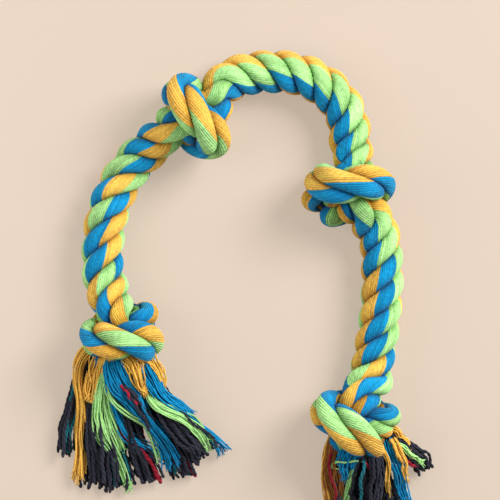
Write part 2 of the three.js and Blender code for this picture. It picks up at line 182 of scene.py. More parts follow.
def curve_through(points: Array, between: int) -> Array:
    """A centripetal Catmull-Rom curve through points.

    Each leg is a cubic whose speed at its ends follows from the square roots of the distances
    to the points beside it, so the curve neither loops nor overshoots.

    Args:
        points: the points, on the last axis but one, of one line or of many lines.
        between: how many steps each leg is cut into.

    Returns:
        The points of the curve, on the last axis but one.
    """
    first = 2 * points[..., :1, :] - points[..., 1:2, :]
    last = 2 * points[..., -1:, :] - points[..., -2:-1, :]
    wide = np.concatenate([first, points, last], axis=-2)
    roots = np.sqrt(np.linalg.norm(np.diff(wide, axis=-2), axis=-1))[..., None]
    before, here, after = roots[..., :-2, :], roots[..., 1:-1, :], roots[..., 2:, :]
    p0, p1 = wide[..., :-3, :], wide[..., 1:-2, :]
    p2, p3 = wide[..., 2:-1, :], wide[..., 3:, :]
    leave = (p1 - p0) / before - (p2 - p0) / (before + here) + (p2 - p1) / here
    reach = (p2 - p1) / here - (p3 - p1) / (here + after) + (p3 - p2) / after
    leave, reach = leave * here, reach * here
    share = (np.arange(between) / between)[:, None, None]
    square = -3 * p1 + 3 * p2 - 2 * leave - reach
    cube = 2 * p1 - 2 * p2 + leave + reach
    if points.ndim > 2:
        share = share[..., None]
    legs = p1 + share * (leave + share * (square + share * cube))
    legs = np.moveaxis(legs, 0, -2)
    flat = legs.reshape(*points.shape[:-2], -1, 3)
    return np.concatenate([flat, points[..., -1:, :]], axis=-2)


@dataclass
class Frames:
    """Directions carried along a line: ahead, to its side, and across both."""

    tangent: Array
    side: Array
    across: Array

    def outward(self, angles: Array) -> Array:
        """Directions round a line: its side times an angle's cosine, plus across times its sine.

        Args:
            angles: the angles, on the last axis, the same for each point or its own.

        Returns:
            The directions, by point and angle.
        """
        side, across = self.side[..., None, :], self.across[..., None, :]
        return side * np.cos(angles)[..., None] + across * np.sin(angles)[..., None]


def frames_along(lines: Array) -> Frames:
    """Frames that are carried along lines without twist.

    Each frame's side is the last frame's side with what points along the line taken out.

    Args:
        lines: the points, on the last axis but one, of one line or of many lines.

    Returns:
        The frames, shaped as the lines are.
    """
    ahead = np.concatenate([lines[..., 1:, :], lines[..., -1:, :]], axis=-2)
    behind = np.concatenate([lines[..., :1, :], lines[..., :-1, :]], axis=-2)
    tangent = unit(ahead - behind)
    side = np.broadcast_to(UP, lines[..., 0, :].shape)
    sides = []
    for index in range(lines.shape[-2]):
        here = tangent[..., index, :]
        side = unit(side - here * np.sum(side * here, axis=-1, keepdims=True))
        sides.append(side)
    carried = np.stack(sides, axis=-2)
    return Frames(tangent, carried, np.cross(tangent, carried))


def push_shares(distance: Array, contact: Array | float, pressed: Array) -> Array:
    """The share of its way from a point that presses on it that each point is pushed on.

    It is half of how much nearer the two are than the contact distance, over their distance.

    Args:
        distance: how far apart each two points are.
        contact: how far apart they would only touch.
        pressed: whether they press on each other.

    Returns:
        The shares, nought where nothing presses.
    """
    return np.where(pressed, (contact - distance) / (2 * np.maximum(distance, 1e-9)), 0.0)


# The tight overhand knot


@dataclass(frozen=True)
class OverhandKnot:
    """An overhand knot in a rope of diameter 1, drawn along X until it is tight.

    Attributes:
        points: points on the line.
        rounds: rounds of tightening.
        seed_points: points on the open knot it starts from.
        seed_share: size of the open knot.
        cut_angle: where the open knot's loop is cut, in radians.
        end_share: how far its ends run out.
        first_grown: the rope's thickness in the first round.
        tightening: how far a point moves towards the middle of its neighbours in a round.
        neighbour_share: how far apart along the rope two points start to press.
        reach: how far from its middle the knotted stretch is kept.
    """

    points: int = 100
    rounds: int = 300
    seed_points: int = 90
    seed_share: float = 0.73
    cut_angle: float = 0.55
    end_share: float = 3.2
    first_grown: float = 0.4
    tightening: float = 0.4
    neighbour_share: float = 1.35
    reach: float = 1.5

    def loose(self) -> Array:
        """A small open trefoil, (sin t + 2 sin 2t, cos t - 2 cos 2t, sin 3t), with straight ends."""
        swing = np.linspace(0.0, TURN - 2 * self.cut_angle, self.seed_points)
        turn = math.pi + self.cut_angle + swing
        x = -(np.sin(turn) + 2 * np.sin(2 * turn))
        y = np.cos(turn) - 2 * np.cos(2 * turn)
        loop = self.seed_share * np.stack([x, y, -np.sin(3 * turn)], axis=1)
        end = np.array([[self.end_share, 0.0, 0.0]])
        return np.concatenate([-end, loop, end])

    def pushed_apart(self, line: Array, thick: float) -> Array:
        """Pushes apart the passes that lie nearer to each other than the rope is thick.

        Args:
            line: the rope's line.
            thick: the rope's thickness in this round.

        Returns:
            The line after the push, with its ends held.
        """
        total = lengths_along(line)[-1]
        apart = math.ceil(self.neighbour_share * thick * (len(line) - 1) / total)
        away = line[:, None] - line[None]
        distance = np.linalg.norm(away, axis=2)
        index = np.arange(len(line))
        pressed = (np.abs(index[:, None] - index[None]) > apart) & (distance < thick)
        moves = np.sum(away * push_shares(distance, thick, pressed)[..., None], axis=1)
        counts = np.maximum(1.0, pressed.sum(axis=1) / 2)
        moved = line + moves / counts[:, None]
        moved[0], moved[-1] = line[0], line[-1]
        return moved

    def stretch(self) -> Array:
        """The tight knotted stretch alone, with its middle on the axis."""
        line = evenly(self.loose(), self.points)
        for turn in range(self.rounds):
            grown = min(1.0, 2 * turn / self.rounds)
            thick = self.first_grown + (1 - self.first_grown) * grown
            line = smoothed(line, self.tightening)
            line = self.pushed_apart(line, thick)
            line = self.pushed_apart(line, thick)
            line = evenly(line, self.points)
        within = np.flatnonzero(np.abs(line[:, 0]) < self.reach)
        knot = line[within[0] : within[-1] + 1]
        middle = (knot.min(axis=0) + knot.max(axis=0)) / 2
        middle[0] = 0.0
        return knot - middle


@dataclass(frozen=True)
class KnotPlace:
    """Where a knot lies on the toy.

    Attributes:
        centre: the pixel over its middle.
        heading: the rope's direction through it, in degrees.
        roll: its turn about that direction, in degrees.
        width: its size across that direction, as a share.
        lay_length: length of one turn of the strands in it.
    """

    centre: Pixel
    heading: float
    roll: float
    width: float
    lay_length: float = 0.090

    def axis(self) -> Array:
        """The rope's direction through the knot."""
        angle = math.radians(self.heading)
        return np.array([math.cos(angle), math.sin(angle), 0.0])

    def placed(self, stretch: Array, rope: float, squash: float, height: float) -> Array:
        """The knot's line in its place.

        Args:
            stretch: the tight knot in rope diameters, along X.
            rope: the rope's diameter in the knot.
            squash: how far the knot is flattened along its axis, as a share.
            height: the height of the knot's middle.

        Returns:
            The points in the frame of the toy.
        """
        heading, roll = math.radians(self.heading), math.radians(self.roll)
        x, y, z = (stretch * [squash, self.width, self.width] * rope).T
        rolled = y * math.cos(roll) - z * math.sin(roll)
        lifted = y * math.sin(roll) + z * math.cos(roll)
        ahead = x * math.cos(heading) - rolled * math.sin(heading)
        aside = x * math.sin(heading) + rolled * math.cos(heading)
        return np.stack([ahead, aside, lifted], axis=1) + at_pixel(self.centre, height)


# Tubes that press on each other


@dataclass
class Tube:
    """A strand's line with the room that it takes.

    Attributes:
        line: its points.
        step: the distance between them.
        radii: half the room that it takes at each point.
    """

    line: Array
    step: float
    radii: Array


@dataclass
class Pool:
    """The points of several tubes, tube after tube.

    Attributes:
        places: the points.
        radii: half the room that is taken at each.
        owner: the number of its tube.
        along: how far along its tube it lies.
    """

    places: Array
    radii: Array
    owner: Array
    along: Array


def pooled(tubes: list[Tube]) -> Pool:
    """The points of all the tubes together.

    Args:
        tubes: the tubes.

    Returns:
        Their points, tube after tube.
    """
    return Pool(
        np.concatenate([tube.line for tube in tubes]),
        np.concatenate([tube.radii for tube in tubes]),
        np.concatenate([np.full(len(tube.line), number) for number, tube in enumerate(tubes)]),
        np.concatenate([np.arange(len(tube.line)) * tube.step for tube in tubes]),
    )


@dataclass(frozen=True)
class Settling:
    """How tubes that press on each other move apart.

    Attributes:
        rounds: how often each pair is looked at.
        back: how far a point returns to its own course in a round, as a share.
        crowd: how much a point that many others press on is slowed.
        stretch_share: how near along its own tube nothing presses, in contact distances.
        flat_depth: how deep the floor flattens a tube.
    """

    rounds: int = 80
    back: float = 0.02
    crowd: float = 0.35
    stretch_share: float = 1.5
    flat_depth: float = 0.0014

    def settled(self, tubes: list[Tube]) -> list[Array]:
        """Moves the tubes apart until they only touch, over the floor.

        Args:
            tubes: the tubes.

        Returns:
            Their lines afterwards.
        """
        pool = pooled(tubes)
        home, owner = pool.places, pool.owner
        contact = pool.radii[:, None] + pool.radii[None]
        same = owner[:, None] == owner[None]
        near = np.abs(pool.along[:, None] - pool.along[None]) < self.stretch_share * contact
        apart = ~(same & near)
        inner = np.zeros(len(home), bool)
        inner[1:-1] = (owner[:-2] == owner[1:-1]) & (owner[2:] == owner[1:-1])
        before, after = np.flatnonzero(inner) - 1, np.flatnonzero(inner) + 1
        place = home.copy()
        for _ in range(self.rounds):
            away = place[:, None] - place[None]
            distance = np.linalg.norm(away, axis=2)
            pressed = apart & (distance < contact)
            share = push_shares(distance, contact, pressed)
            slowed = np.maximum(1.0, self.crowd * pressed.sum(axis=1))
            place = place + np.sum(away * share[..., None], axis=1) / slowed[:, None]
            place += self.back * (home - place)
            shift = place - home
            place[inner] = home[inner] + shift[inner] / 2 + (shift[before] + shift[after]) / 4
            place[:, 2] = np.maximum(place[:, 2], pool.radii - self.flat_depth)
        return [place[owner == number] for number in range(len(tubes))]


@dataclass(frozen=True)
class Packing:
    """How the skins of strands that lie against each other share the room between them.

    Attributes:
        directions: directions looked at round each ring.
        far: how far away a neighbour still counts.
        overlap: how far two skins sink into each other, so that no gap shows.
        rings_at_once: rings worked out together.
        own_share: how near along its own strand nothing presses, in radii.
        glance: smallest cosine at which a direction counts as facing a neighbour.
        met_share: a skin that reaches less far than this share of its full radius meets another.
    """

    directions: int = 72
    far: float = 0.036
    overlap: float = 0.0001
    rings_at_once: int = 40
    own_share: float = 3.0
    glance: float = 0.05
    met_share: float = 0.985

    def reaches(self, tubes: list[Tube], which: int, full: float) -> Array:
        """How far one strand's skin reaches in each direction round each of its rings.

        A skin is round with its full radius, but ends on the plane that stands half way, by
        the two radii, between its ring's middle and any other strand's point.

        Args:
            tubes: the strands.
            which: the strand that is looked at.
            full: its full radius.

        Returns:
            The reaches, one row for each ring.
        """
        tube = tubes[which]
        pool = pooled(tubes)
        out = frames_along(tube.line).outward(TURN * np.arange(self.directions) / self.directions)
        rows = []
        for start in range(0, len(tube.line), self.rings_at_once):
            rings = slice(start, start + self.rings_at_once)
            own_radii = tube.radii[rings][:, None]
            away = pool.places[None] - tube.line[rings][:, None]
            distance = np.linalg.norm(away, axis=2)
            here = np.arange(len(tube.line))[rings] * tube.step
            beside = np.abs(pool.along[None] - here[:, None]) < self.own_share * full
            counted = (distance < self.far) & ~((pool.owner[None] == which) & beside)
            some = counted.any(axis=0)
            away, distance = away[:, some], distance[:, some]
            counted, others = counted[:, some], pool.radii[some]
            plane = distance * (own_radii / (own_radii + others[None])) + self.overlap
            facing = np.einsum("rdx,rsx->rds", out[rings], unit(away))
            reach = plane[:, None] / np.maximum(facing, self.glance)
            open_to = counted[:, None] & (facing > self.glance)
            reach = np.where(open_to, reach, np.inf).min(axis=2, initial=np.inf)
            rows.append(np.minimum(reach, full))
        return np.concatenate(rows)


def blurred(values: Array, times: int) -> Array:
    """Rounds the edges of a field, by mixing each value half and half with its neighbours.

    Args:
        values: the field, by ring and direction; the directions close on themselves.
        times: how often it is done.

    Returns:
        The rounded field.
    """
    for _ in range(times):
        values = values / 2 + (np.roll(values, 1, axis=1) + np.roll(values, -1, axis=1)) / 4
        inner = (values[:-2] + values[2:]) / 4 + values[1:-1] / 2
        values = np.concatenate([values[:1], inner, values[-1:]])
    return values


def read_round(values: Array, angle: Array) -> Array:
    """A field over rings and directions, read at other angles.

    Each reading is a straight mix of the two directions that the angle lies between.

    Args:
        values: the field, by ring and direction.
        angle: the angles, by ring and column.

    Returns:
        The readings, by ring and column.
    """
    directions = values.shape[1]
    spot = np.mod(angle / TURN, 1.0) * directions
    low = np.floor(spot).astype(int)
    share = spot - low
    rows = np.arange(len(values))[:, None]
    return values[rows, low % directions] * (1 - share) + values[rows, (low + 1) % directions] * share


# Meshes


@dataclass
class Surface:
    """Points and faces of a mesh, with its colours and its map.

    Attributes:
        points: one row for each point.
        quads: four point numbers a row.
        caps: three point numbers a row.
        colours: linear red, green and blue at each point.
        maps: two map coordinates for each corner of the quads, then of the caps.
    """

    points: Array
    quads: Array
    caps: Array
    colours: Array
    maps: Array


def grid_surface(rings: Array, colours: Array, along: Array, turns: float) -> Surface:
    """A closed skin over many rings of points, of one tube or of many.

    Quads join each ring to the next, and a point in the middle of each end ring closes it.

    Args:
        rings: points, by tube, ring and side.
        colours: colours, by tube, ring and side.
        along: how far along its tube each ring lies, by tube and ring.
        turns: how far the map counts once round a ring.

    Returns:
        The surface.
    """
    tubes, count, sides, _ = rings.shape
    here = np.arange(tubes * count * sides).reshape(tubes, count, sides)
    beside = np.roll(here, -1, axis=2)
    quads = np.stack([here[:, :-1], beside[:, :-1], beside[:, 1:], here[:, 1:]], axis=-1)
    ends = here.size + np.arange(2 * tubes).reshape(tubes, 2)
    start, stop = (np.broadcast_to(ends[:, end, None], (tubes, sides)) for end in (0, 1))
    caps = [
        np.stack([start, beside[:, 0], here[:, 0]], axis=-1).reshape(-1, 3),
        np.stack([stop, here[:, -1], beside[:, -1]], axis=-1).reshape(-1, 3),
    ]
    middles, tints = rings[:, [0, -1]].mean(axis=2), colours[:, [0, -1]].mean(axis=2)
    left = turns * np.arange(sides) / sides
    edges = (left, left + turns / sides, along[:, :-1, None], along[:, 1:, None])
    left, right, low, high = (np.broadcast_to(edge, quads.shape[:3]) for edge in edges)
    corners = [(left, low), (right, low), (right, high), (left, high)]
    maps = np.stack([np.stack(corner, axis=-1) for corner in corners], axis=3)
    return Surface(
        np.concatenate([rings.reshape(-1, 3), middles.reshape(-1, 3)]),
        quads.reshape(-1, 4),
        np.concatenate(caps),
        np.concatenate([colours.reshape(-1, 3), tints.reshape(-1, 3)]),
        np.concatenate([maps.reshape(-1, 2), np.zeros((caps[0].size + caps[1].size, 2))]),
    )


def joined(surfaces: list[Surface]) -> Surface:
    """Several surfaces as one.

    Args:
        surfaces: the surfaces.

    Returns:
        One surface with the points and faces of all.
    """
    offsets = np.cumsum([0] + [len(part.points) for part in surfaces[:-1]])
    quad_maps = [part.maps[: part.quads.size] for part in surfaces]
    cap_maps = [part.maps[part.quads.size :] for part in surfaces]
    return Surface(
        np.concatenate([part.points for part in surfaces]),
        np.concatenate([part.quads + offset for part, offset in zip(surfaces, offsets)]),
        np.concatenate([part.caps + offset for part, offset in zip(surfaces, offsets)]),
        np.concatenate([part.colours for part in surfaces]),
        np.concatenate(quad_maps + cap_maps),
    )


def linked(name: str, data: bpy.types.ID) -> bpy.types.Object:
    """A new object that holds the data, linked to the scene."""
    made = bpy.data.objects.new(name, data)
    bpy.context.scene.collection.objects.link(made)
    return made


def make_piece(name: str, surface: Surface, material: bpy.types.Material) -> bpy.types.Object:
    """Makes a smooth-shaded object of a surface and links it to the scene.

    Args:
        name: name of the piece.
        surface: its mesh.
        material: its material.

    Returns:
        The new object, at the origin.
    """
    mesh = bpy.data.meshes.new(name)
    sizes = np.concatenate([np.full(len(surface.quads), 4), np.full(len(surface.caps), 3)])
    corners = np.concatenate([surface.quads.ravel(), surface.caps.ravel()])
    mesh.vertices.add(len(surface.points))
    mesh.vertices.foreach_set("co", surface.points.astype(np.float32).ravel())
    mesh.loops.add(len(corners))
    mesh.loops.foreach_set("vertex_index", corners.astype(np.int32))
    mesh.polygons.add(len(sizes))
    starts = np.concatenate([[0], np.cumsum(sizes)[:-1]])
    mesh.polygons.foreach_set("loop_start", starts.astype(np.int32))
    mesh.polygons.foreach_set("loop_total", sizes.astype(np.int32))
    mesh.polygons.foreach_set("use_smooth", np.ones(len(sizes), bool))
    yarn_map = mesh.uv_layers.new(name="yarn_map")
    yarn_map.data.foreach_set("uv", surface.maps.astype(np.float32).ravel())
    dyes = mesh.attributes.new("yarn_colour", "FLOAT_COLOR", "POINT")
    shades = np.concatenate([surface.colours, np.ones((len(surface.colours), 1))], axis=1)
    dyes.data.foreach_set("color", shades.astype(np.float32).ravel())
    mesh.materials.append(material)
    mesh.update(calc_edges=True)
    mesh.validate()
    return linked(name, mesh)


# Materials


def math_node(tree: bpy.types.NodeTree, operation: str, *values: Socket | float) -> Socket:
    """Adds a Math node to a tree.

    Args:
        tree: the tree.
        operation: what the node works out.
        values: a number, or another node's result, for each of its inputs.

    Returns:
        Its result.
    """
    node = tree.nodes.new("ShaderNodeMath")
    node.operation = operation
    for socket, value in zip(node.inputs, values):
        if isinstance(value, float):
            socket.default_value = value
        else:
            tree.links.new(value, socket)
    return node.outputs[0]


def ply_group() -> bpy.types.NodeTree:
    """The twist of a yarn's plies and its lint, as a shader node group.

    The plies are stripes that climb round the yarn: the height is the absolute value of the
    sine of pi times (place along / pitch + turn round the yarn). Noise stands for the lint.
    The dye is painted darker in the groove between two plies, a painted shade.
    """
    group = bpy.data.node_groups.new("yarn_plies", "ShaderNodeTree")
    face, nodes, links = group.interface, group.nodes, group.links
    face.new_socket("Dye", in_out="INPUT", socket_type="NodeSocketColor")
    for name, value in LAID_COTTON.ply_inputs().items():
        socket = face.new_socket(name, in_out="INPUT", socket_type="NodeSocketFloat")
        socket.default_value = value
    face.new_socket("Colour", in_out="OUTPUT", socket_type="NodeSocketColor")
    face.new_socket("Height", in_out="OUTPUT", socket_type="NodeSocketFloat")
    given = nodes.new("NodeGroupInput").outputs
    result = nodes.new("NodeGroupOutput").inputs
    place = nodes.new("ShaderNodeUVMap")
    place.uv_map = "yarn_map"
    split = nodes.new("ShaderNodeSeparateXYZ")
    links.new(place.outputs["UV"], split.inputs[0])
    climb = math_node(group, "DIVIDE", split.outputs["Y"], given["Pitch"])
    phase = math_node(group, "ADD", climb, split.outputs["X"])
    wave = math_node(group, "SINE", math_node(group, "MULTIPLY", phase, math.pi))
    ridge = math_node(group, "ABSOLUTE", wave)
    coords = nodes.new("ShaderNodeTexCoord")
    lint = nodes.new("ShaderNodeTexNoise")
    lint.inputs["Detail"].default_value = LINT_DETAIL
    links.new(coords.outputs["Object"], lint.inputs["Vector"])
    links.new(given["Lint Scale"], lint.inputs["Scale"])
    fuzz = lint.outputs["Fac"]
    # Painted shade: the dye is made darker in the groove between two plies.
    groove = math_node(group, "MULTIPLY", math_node(group, "SUBTRACT", 1.0, ridge), given["Painted Ply Darkness"])
    grain = math_node(group, "MULTIPLY", math_node(group, "SUBTRACT", fuzz, 0.5), given["Lint Shade"])
    top = math_node(group, "SUBTRACT", 1.0, groove)
    light = math_node(group, "ADD", top, math_node(group, "MULTIPLY", grain, 2.0))
    tint = nodes.new("ShaderNodeVectorMath")
    tint.operation = "SCALE"
    links.new(given["Dye"], tint.inputs[0])
    links.new(light, tint.inputs["Scale"])
    links.new(tint.outputs[0], result["Colour"])
    bristle = math_node(group, "MULTIPLY", fuzz, LINT_HEIGHT)
    links.new(math_node(group, "ADD", ridge, bristle), result["Height"])
    return group


def cotton_material(finish: CottonFinish, group: bpy.types.NodeTree) -> bpy.types.Material:
    """Matte cotton in the colours that each piece carries in its own attribute.

    Args:
        finish: the values of the finish.
        group: the node group of the plies.

    Returns:
        The material.
    """
    material = bpy.data.materials.new(finish.name)
    material.use_nodes = True
    nodes, links = material.node_tree.nodes, material.node_tree.links
    shader = nodes["Principled BSDF"]
    # The colour attribute carries the dye with its painted shade and light already in it.
    dye = nodes.new("ShaderNodeAttribute")
    dye.attribute_name = "yarn_colour"
    plies = nodes.new("ShaderNodeGroup")
    plies.node_tree = group
    for name, value in finish.ply_inputs().items():
        plies.inputs[name].default_value = value
    bump = nodes.new("ShaderNodeBump")
    bump.inputs["Strength"].default_value = 1.0
    bump.inputs["Distance"].default_value = finish.ply_height
    links.new(dye.outputs["Color"], plies.inputs["Dye"])
    links.new(plies.outputs["Colour"], shader.inputs["Base Color"])
    links.new(plies.outputs["Height"], bump.inputs["Height"])
    links.new(bump.outputs["Normal"], shader.inputs["Normal"])
    shader.inputs["Roughness"].default_value = finish.roughness
    shader.inputs["Sheen Weight"].default_value = finish.sheen
    shader.inputs["Sheen Roughness"].default_value = finish.sheen_roughness
    shader.inputs["Specular IOR Level"].default_value = finish.specular
    return material


# The stage


@dataclass(frozen=True)
class Lamp:
    """A square lamp that faces the toy.

    Attributes:
        name: its name.
        power: its power, in watts.
        size: its side, in metres.
        place: where it hangs.
    """

    name: str
    power: float
    size: float
    place: tuple[float, float, float]

    def hang(self) -> None:
        """Adds the lamp to the scene."""
        data = bpy.data.lights.new(self.name, "AREA")
        data.energy, data.size = self.power, self.size
        lamp = linked(self.name, data)
        lamp.location = Vector(self.place)
        lamp.rotation_mode = "QUATERNION"
        lamp.rotation_quaternion = (-Vector(self.place)).to_track_quat("-Z", "Y")


@dataclass(frozen=True)
class Studio:
    """A pale floor, soft lamps and a camera that looks straight down.

    Attributes:
        distance: height of the camera over the rope's middle, in metres.
        width: what the picture's width takes in at the rope's middle, in metres.
        sensor_width: width of the camera's sensor, in millimetres.
        sight: how far the camera sees.
        middle_height: height of the rope's middle over the floor.
        floor_size: side of the floor.
        floor_gap: how far under the toy the floor lies.
        floor_colour: its colour in the lamps' light.
        floor_roughness: its roughness.
        floor_specular: how much of the light it throws back as a mirror does.
        shown_colour: the colour that it gives the camera of its own.
        shown_share: the share of that colour in what the camera sees of it.
        world_colour: colour of the light from all round.
        world_strength: strength of that light.
        lamps: the large lamp at the upper right, and the small one at the left.
    """

    distance: float = 2.4
    width: float = 0.357
    sensor_width: float = 36.0
    sight: float = 50.0
    middle_height: float = 0.0136
    floor_size: float = 6.0
    floor_gap: float = 0.0002
    floor_colour: Colour = (0.670, 0.552, 0.452)
    floor_roughness: float = 0.95
    floor_specular: float = 0.1
    shown_colour: Colour = (0.775, 0.640, 0.520)
    shown_share: float = 0.55
    world_colour: Colour = (1.0, 0.985, 0.965)
    world_strength: float = 0.34
    lamps: tuple[Lamp, ...] = (
        Lamp("key_lamp", power=54.0, size=1.0, place=(1.3, 0.9, 1.3)),
        Lamp("fill_lamp", power=1.5, size=0.45, place=(-0.5, 0.1, 0.4)),
    )

    def camera(self) -> None:
        """Sets up the camera over the middle of the view."""
        data = bpy.data.cameras.new("view_camera")
        data.sensor_width = self.sensor_width
        data.lens = self.sensor_width * self.distance / self.width
        data.clip_end = self.sight
        camera = linked("view_camera", data)
        camera.location = Vector(at_pixel(VIEW_PIXELS, self.middle_height + self.distance))
        bpy.context.scene.camera = camera

    def floor_material(self) -> bpy.types.Material:
        """Matte cloth that gives some of its light of its own to the camera, mirrors and glass."""
        material = bpy.data.materials.new("floor_cloth")
        material.use_nodes = True
        tree = material.node_tree
        nodes, links = tree.nodes, tree.links
        shader = nodes["Principled BSDF"]
        shader.inputs["Base Color"].default_value = (*self.floor_colour, 1.0)
        shader.inputs["Roughness"].default_value = self.floor_roughness
        shader.inputs["Specular IOR Level"].default_value = self.floor_specular
        glow = nodes.new("ShaderNodeEmission")
        glow.inputs["Color"].default_value = (*self.shown_colour, 1.0)
        path = nodes.new("ShaderNodeLightPath").outputs
        mirrored = math_node(tree, "MAXIMUM", path["Is Glossy Ray"], path["Is Transmission Ray"])
        seen = math_node(tree, "MAXIMUM", path["Is Camera Ray"], mirrored)
        mix = nodes.new("ShaderNodeMixShader")
        links.new(math_node(tree, "MULTIPLY", seen, self.shown_share), mix.inputs["Fac"])
        links.new(shader.outputs["BSDF"], mix.inputs[1])
        links.new(glow.outputs["Emission"], mix.inputs[2])
        links.new(mix.outputs["Shader"], nodes["Material Output"].inputs["Surface"])
        return material

    def floor(self) -> None:
        """Lays the floor under the toy."""
        half = self.floor_size / 2
        mesh = bpy.data.meshes.new("floor")
        corners = [(-half, -half, 0.0), (half, -half, 0.0), (half, half, 0.0), (-half, half, 0.0)]
        mesh.from_pydata(corners, [], [(0, 1, 2, 3)])
        mesh.materials.append(self.floor_material())
        piece = linked("floor", mesh)
        piece.location.z = -self.floor_gap

    def build(self) -> None:
        """Sets up the world, the lamps and the floor."""
        scene = bpy.context.scene
        scene.view_settings.view_transform = "Standard"
        world = bpy.data.worlds.new("studio")
        world.use_nodes = True
        background = world.node_tree.nodes["Background"]
        background.inputs["Color"].default_value = (*self.world_colour, 1.0)
        background.inputs["Strength"].default_value = self.world_strength
        scene.world = world
        for lamp in self.lamps:
            lamp.hang()
        self.floor()


# The rope


@dataclass
class Stations:
    """The rope's line at even steps, with how tight it is drawn, its lay length and its knot's axis."""

    line: Array
    tight: Array
    lay: Array
    axis: Array


@dataclass(frozen=True)
class Rope:
    """The toy's rope: its sizes, its course and its four knots.

    The rope's course is given in pixels of the view, and its sizes are in metres.

    Attributes:
        strand_diameter: thickness of a strand.
        strands: how many strands are laid round each other.
        pressed_share: distance of the strands' middles, in their diameters.
        contact_share: the room that a strand holds while the toy settles, in that distance.
        lay_length: length of one turn of the strands along the arms.
        arch_lay_length: the same in the arch.
        knot_rope_diameter: thickness of the rope where a knot draws it tight.
        knot_strand_spacing: distance of the strands' middles there.
        knot_orbit_along: how far a strand stands off the rope's middle, along the knot's axis.
        knot_orbit_across: the same across that axis.
        knot_centre_height: height of a knot's middle.
        knot_squash: how far a knot is flattened along its axis, as a share.
        tail_fan: how far the strands of an end fan out sideways.
        tail_height: height of an end.
        flat_depth: how deep the floor flattens a strand.
        section_step: about how far apart the line's points are.
        between: steps that each leg of a curve is cut into.
        knot_stride: which of the knot's points are used.
        line_smoothings: how often the line is smoothed.
        left_tail: where the left end lies.
        left_arm: the course of the left arm.
        arch: the course of the arch.
        right_arm: the course of the right arm.
        right_tail: where the right end lies.
        knots: the four knots.
    """

    strand_diameter: float = 0.0144
    strands: int = 3
    pressed_share: float = 0.94
    contact_share: float = 0.9
    lay_length: float = 0.055
    arch_lay_length: float = 0.049
    knot_rope_diameter: float = 0.022
    knot_strand_spacing: float = 0.009
    knot_orbit_along: float = 0.0062
    knot_orbit_across: float = 0.0034
    knot_centre_height: float = 0.027
    knot_squash: float = 0.22
    tail_fan: float = 2.0
    tail_height: float = 0.020
    flat_depth: float = 0.0014
    section_step: float = 0.0058
    between: int = 12
    knot_stride: int = 2
    line_smoothings: int = 4
    left_tail: tuple[Pixel, ...] = ((115, 368),)
    left_arm: tuple[Pixel, ...] = (
        (112, 303), (105.5, 286), (103.5, 265), (103.5, 242), (106, 219), (114, 195), (129.5, 167),
        (152, 146),
    )
    arch: tuple[Pixel, ...] = (
        (222, 82), (239, 76.5), (262, 73), (285, 72.5), (306, 77), (324, 86.5), (338, 100),
        (346, 114), (349.5, 129), (349.5, 146), (350, 160),
    )
    right_arm: tuple[Pixel, ...] = (
        (374, 218), (378, 233), (381, 258), (382.5, 284), (380.6, 309), (377.7, 335), (373.3, 360),
        (369, 388),
    )
    right_tail: tuple[Pixel, ...] = ((353, 461),)
    knots: tuple[KnotPlace, ...] = (
        KnotPlace((123, 332), heading=108, roll=220, width=0.93, lay_length=0.0645),
        KnotPlace((196, 117), heading=52, roll=278, width=1.27),
        KnotPlace((348, 190), heading=-70, roll=232, width=1.08),
        KnotPlace((354.5, 420), heading=-105, roll=330, width=1.05),
    )

    @property
    def orbit(self) -> float:
        """Distance of a strand's middle from the rope's middle."""
        return self.pressed_share * self.strand_diameter / math.sqrt(self.strands)

    @property
    def rest_height(self) -> float:
        """Height of the rope's middle where it lies on the floor."""
        return self.orbit + self.strand_diameter / 2 - self.flat_depth

    def stations(self) -> Stations:
        """The rope's line from its left end to its right one, at even steps."""
        stretch = OverhandKnot().stretch()[:: self.knot_stride]
        points, tight, lay, axis = [], [], [], []

        def add(line: Array, tightness: float, lay_length: float, direction: Array) -> None:
            """Adds a stretch of the route."""
            points.extend(line)
            tight.extend([tightness] * len(line))
            lay.extend([lay_length] * len(line))
            axis.extend([direction] * len(line))

        def rest(pixels: tuple[Pixel, ...], lay_length: float) -> None:
            """Adds a stretch that lies on the floor."""
            line = [at_pixel(pixel, self.rest_height) for pixel in pixels]
            add(line, 0.0, lay_length, np.zeros(3))

        def knot(place: KnotPlace) -> None:
            """Adds a knot."""
            rope, squash = self.knot_rope_diameter, self.knot_squash
            line = place.placed(stretch, rope, squash, self.knot_centre_height)
            add(line, 1.0, place.lay_length, place.axis())

        def tail(pixels: tuple[Pixel, ...], place: KnotPlace) -> None:
            """Adds an end of the rope, where the strands fan out."""
            sideways = np.cross(UP, place.axis()) * self.tail_fan
            line = [at_pixel(pixel, self.tail_height) for pixel in pixels]
            add(line, 1.0, place.lay_length, sideways)

        tail(self.left_tail, self.knots[0])
        knot(self.knots[0])
        rest(self.left_arm, self.lay_length)
        knot(self.knots[1])
        rest(self.arch, self.arch_lay_length)
        knot(self.knots[2])
        rest(self.right_arm, self.lay_length)
        knot(self.knots[3])
        tail(self.right_tail, self.knots[3])
        dense = curve_through(np.array(points), self.between)
        along = lengths_along(dense)
        count = int(math.floor(along[-1] / self.section_step + 0.5)) + 1
        line = evenly(dense, count)
        for _ in range(self.line_smoothings):
            line = smoothed(line, 0.5)
        at = np.linspace(0.0, along[-1], count)
        leg = np.maximum(np.searchsorted(along[1:-1], at, side="left"), 0) / self.between
        index = np.arange(len(points))
        return Stations(
            line,
            np.interp(leg, index, tight),
            np.interp(leg, index, lay),
            np.stack([np.interp(leg, index, values) for values in np.array(axis).T], axis=1),
        )

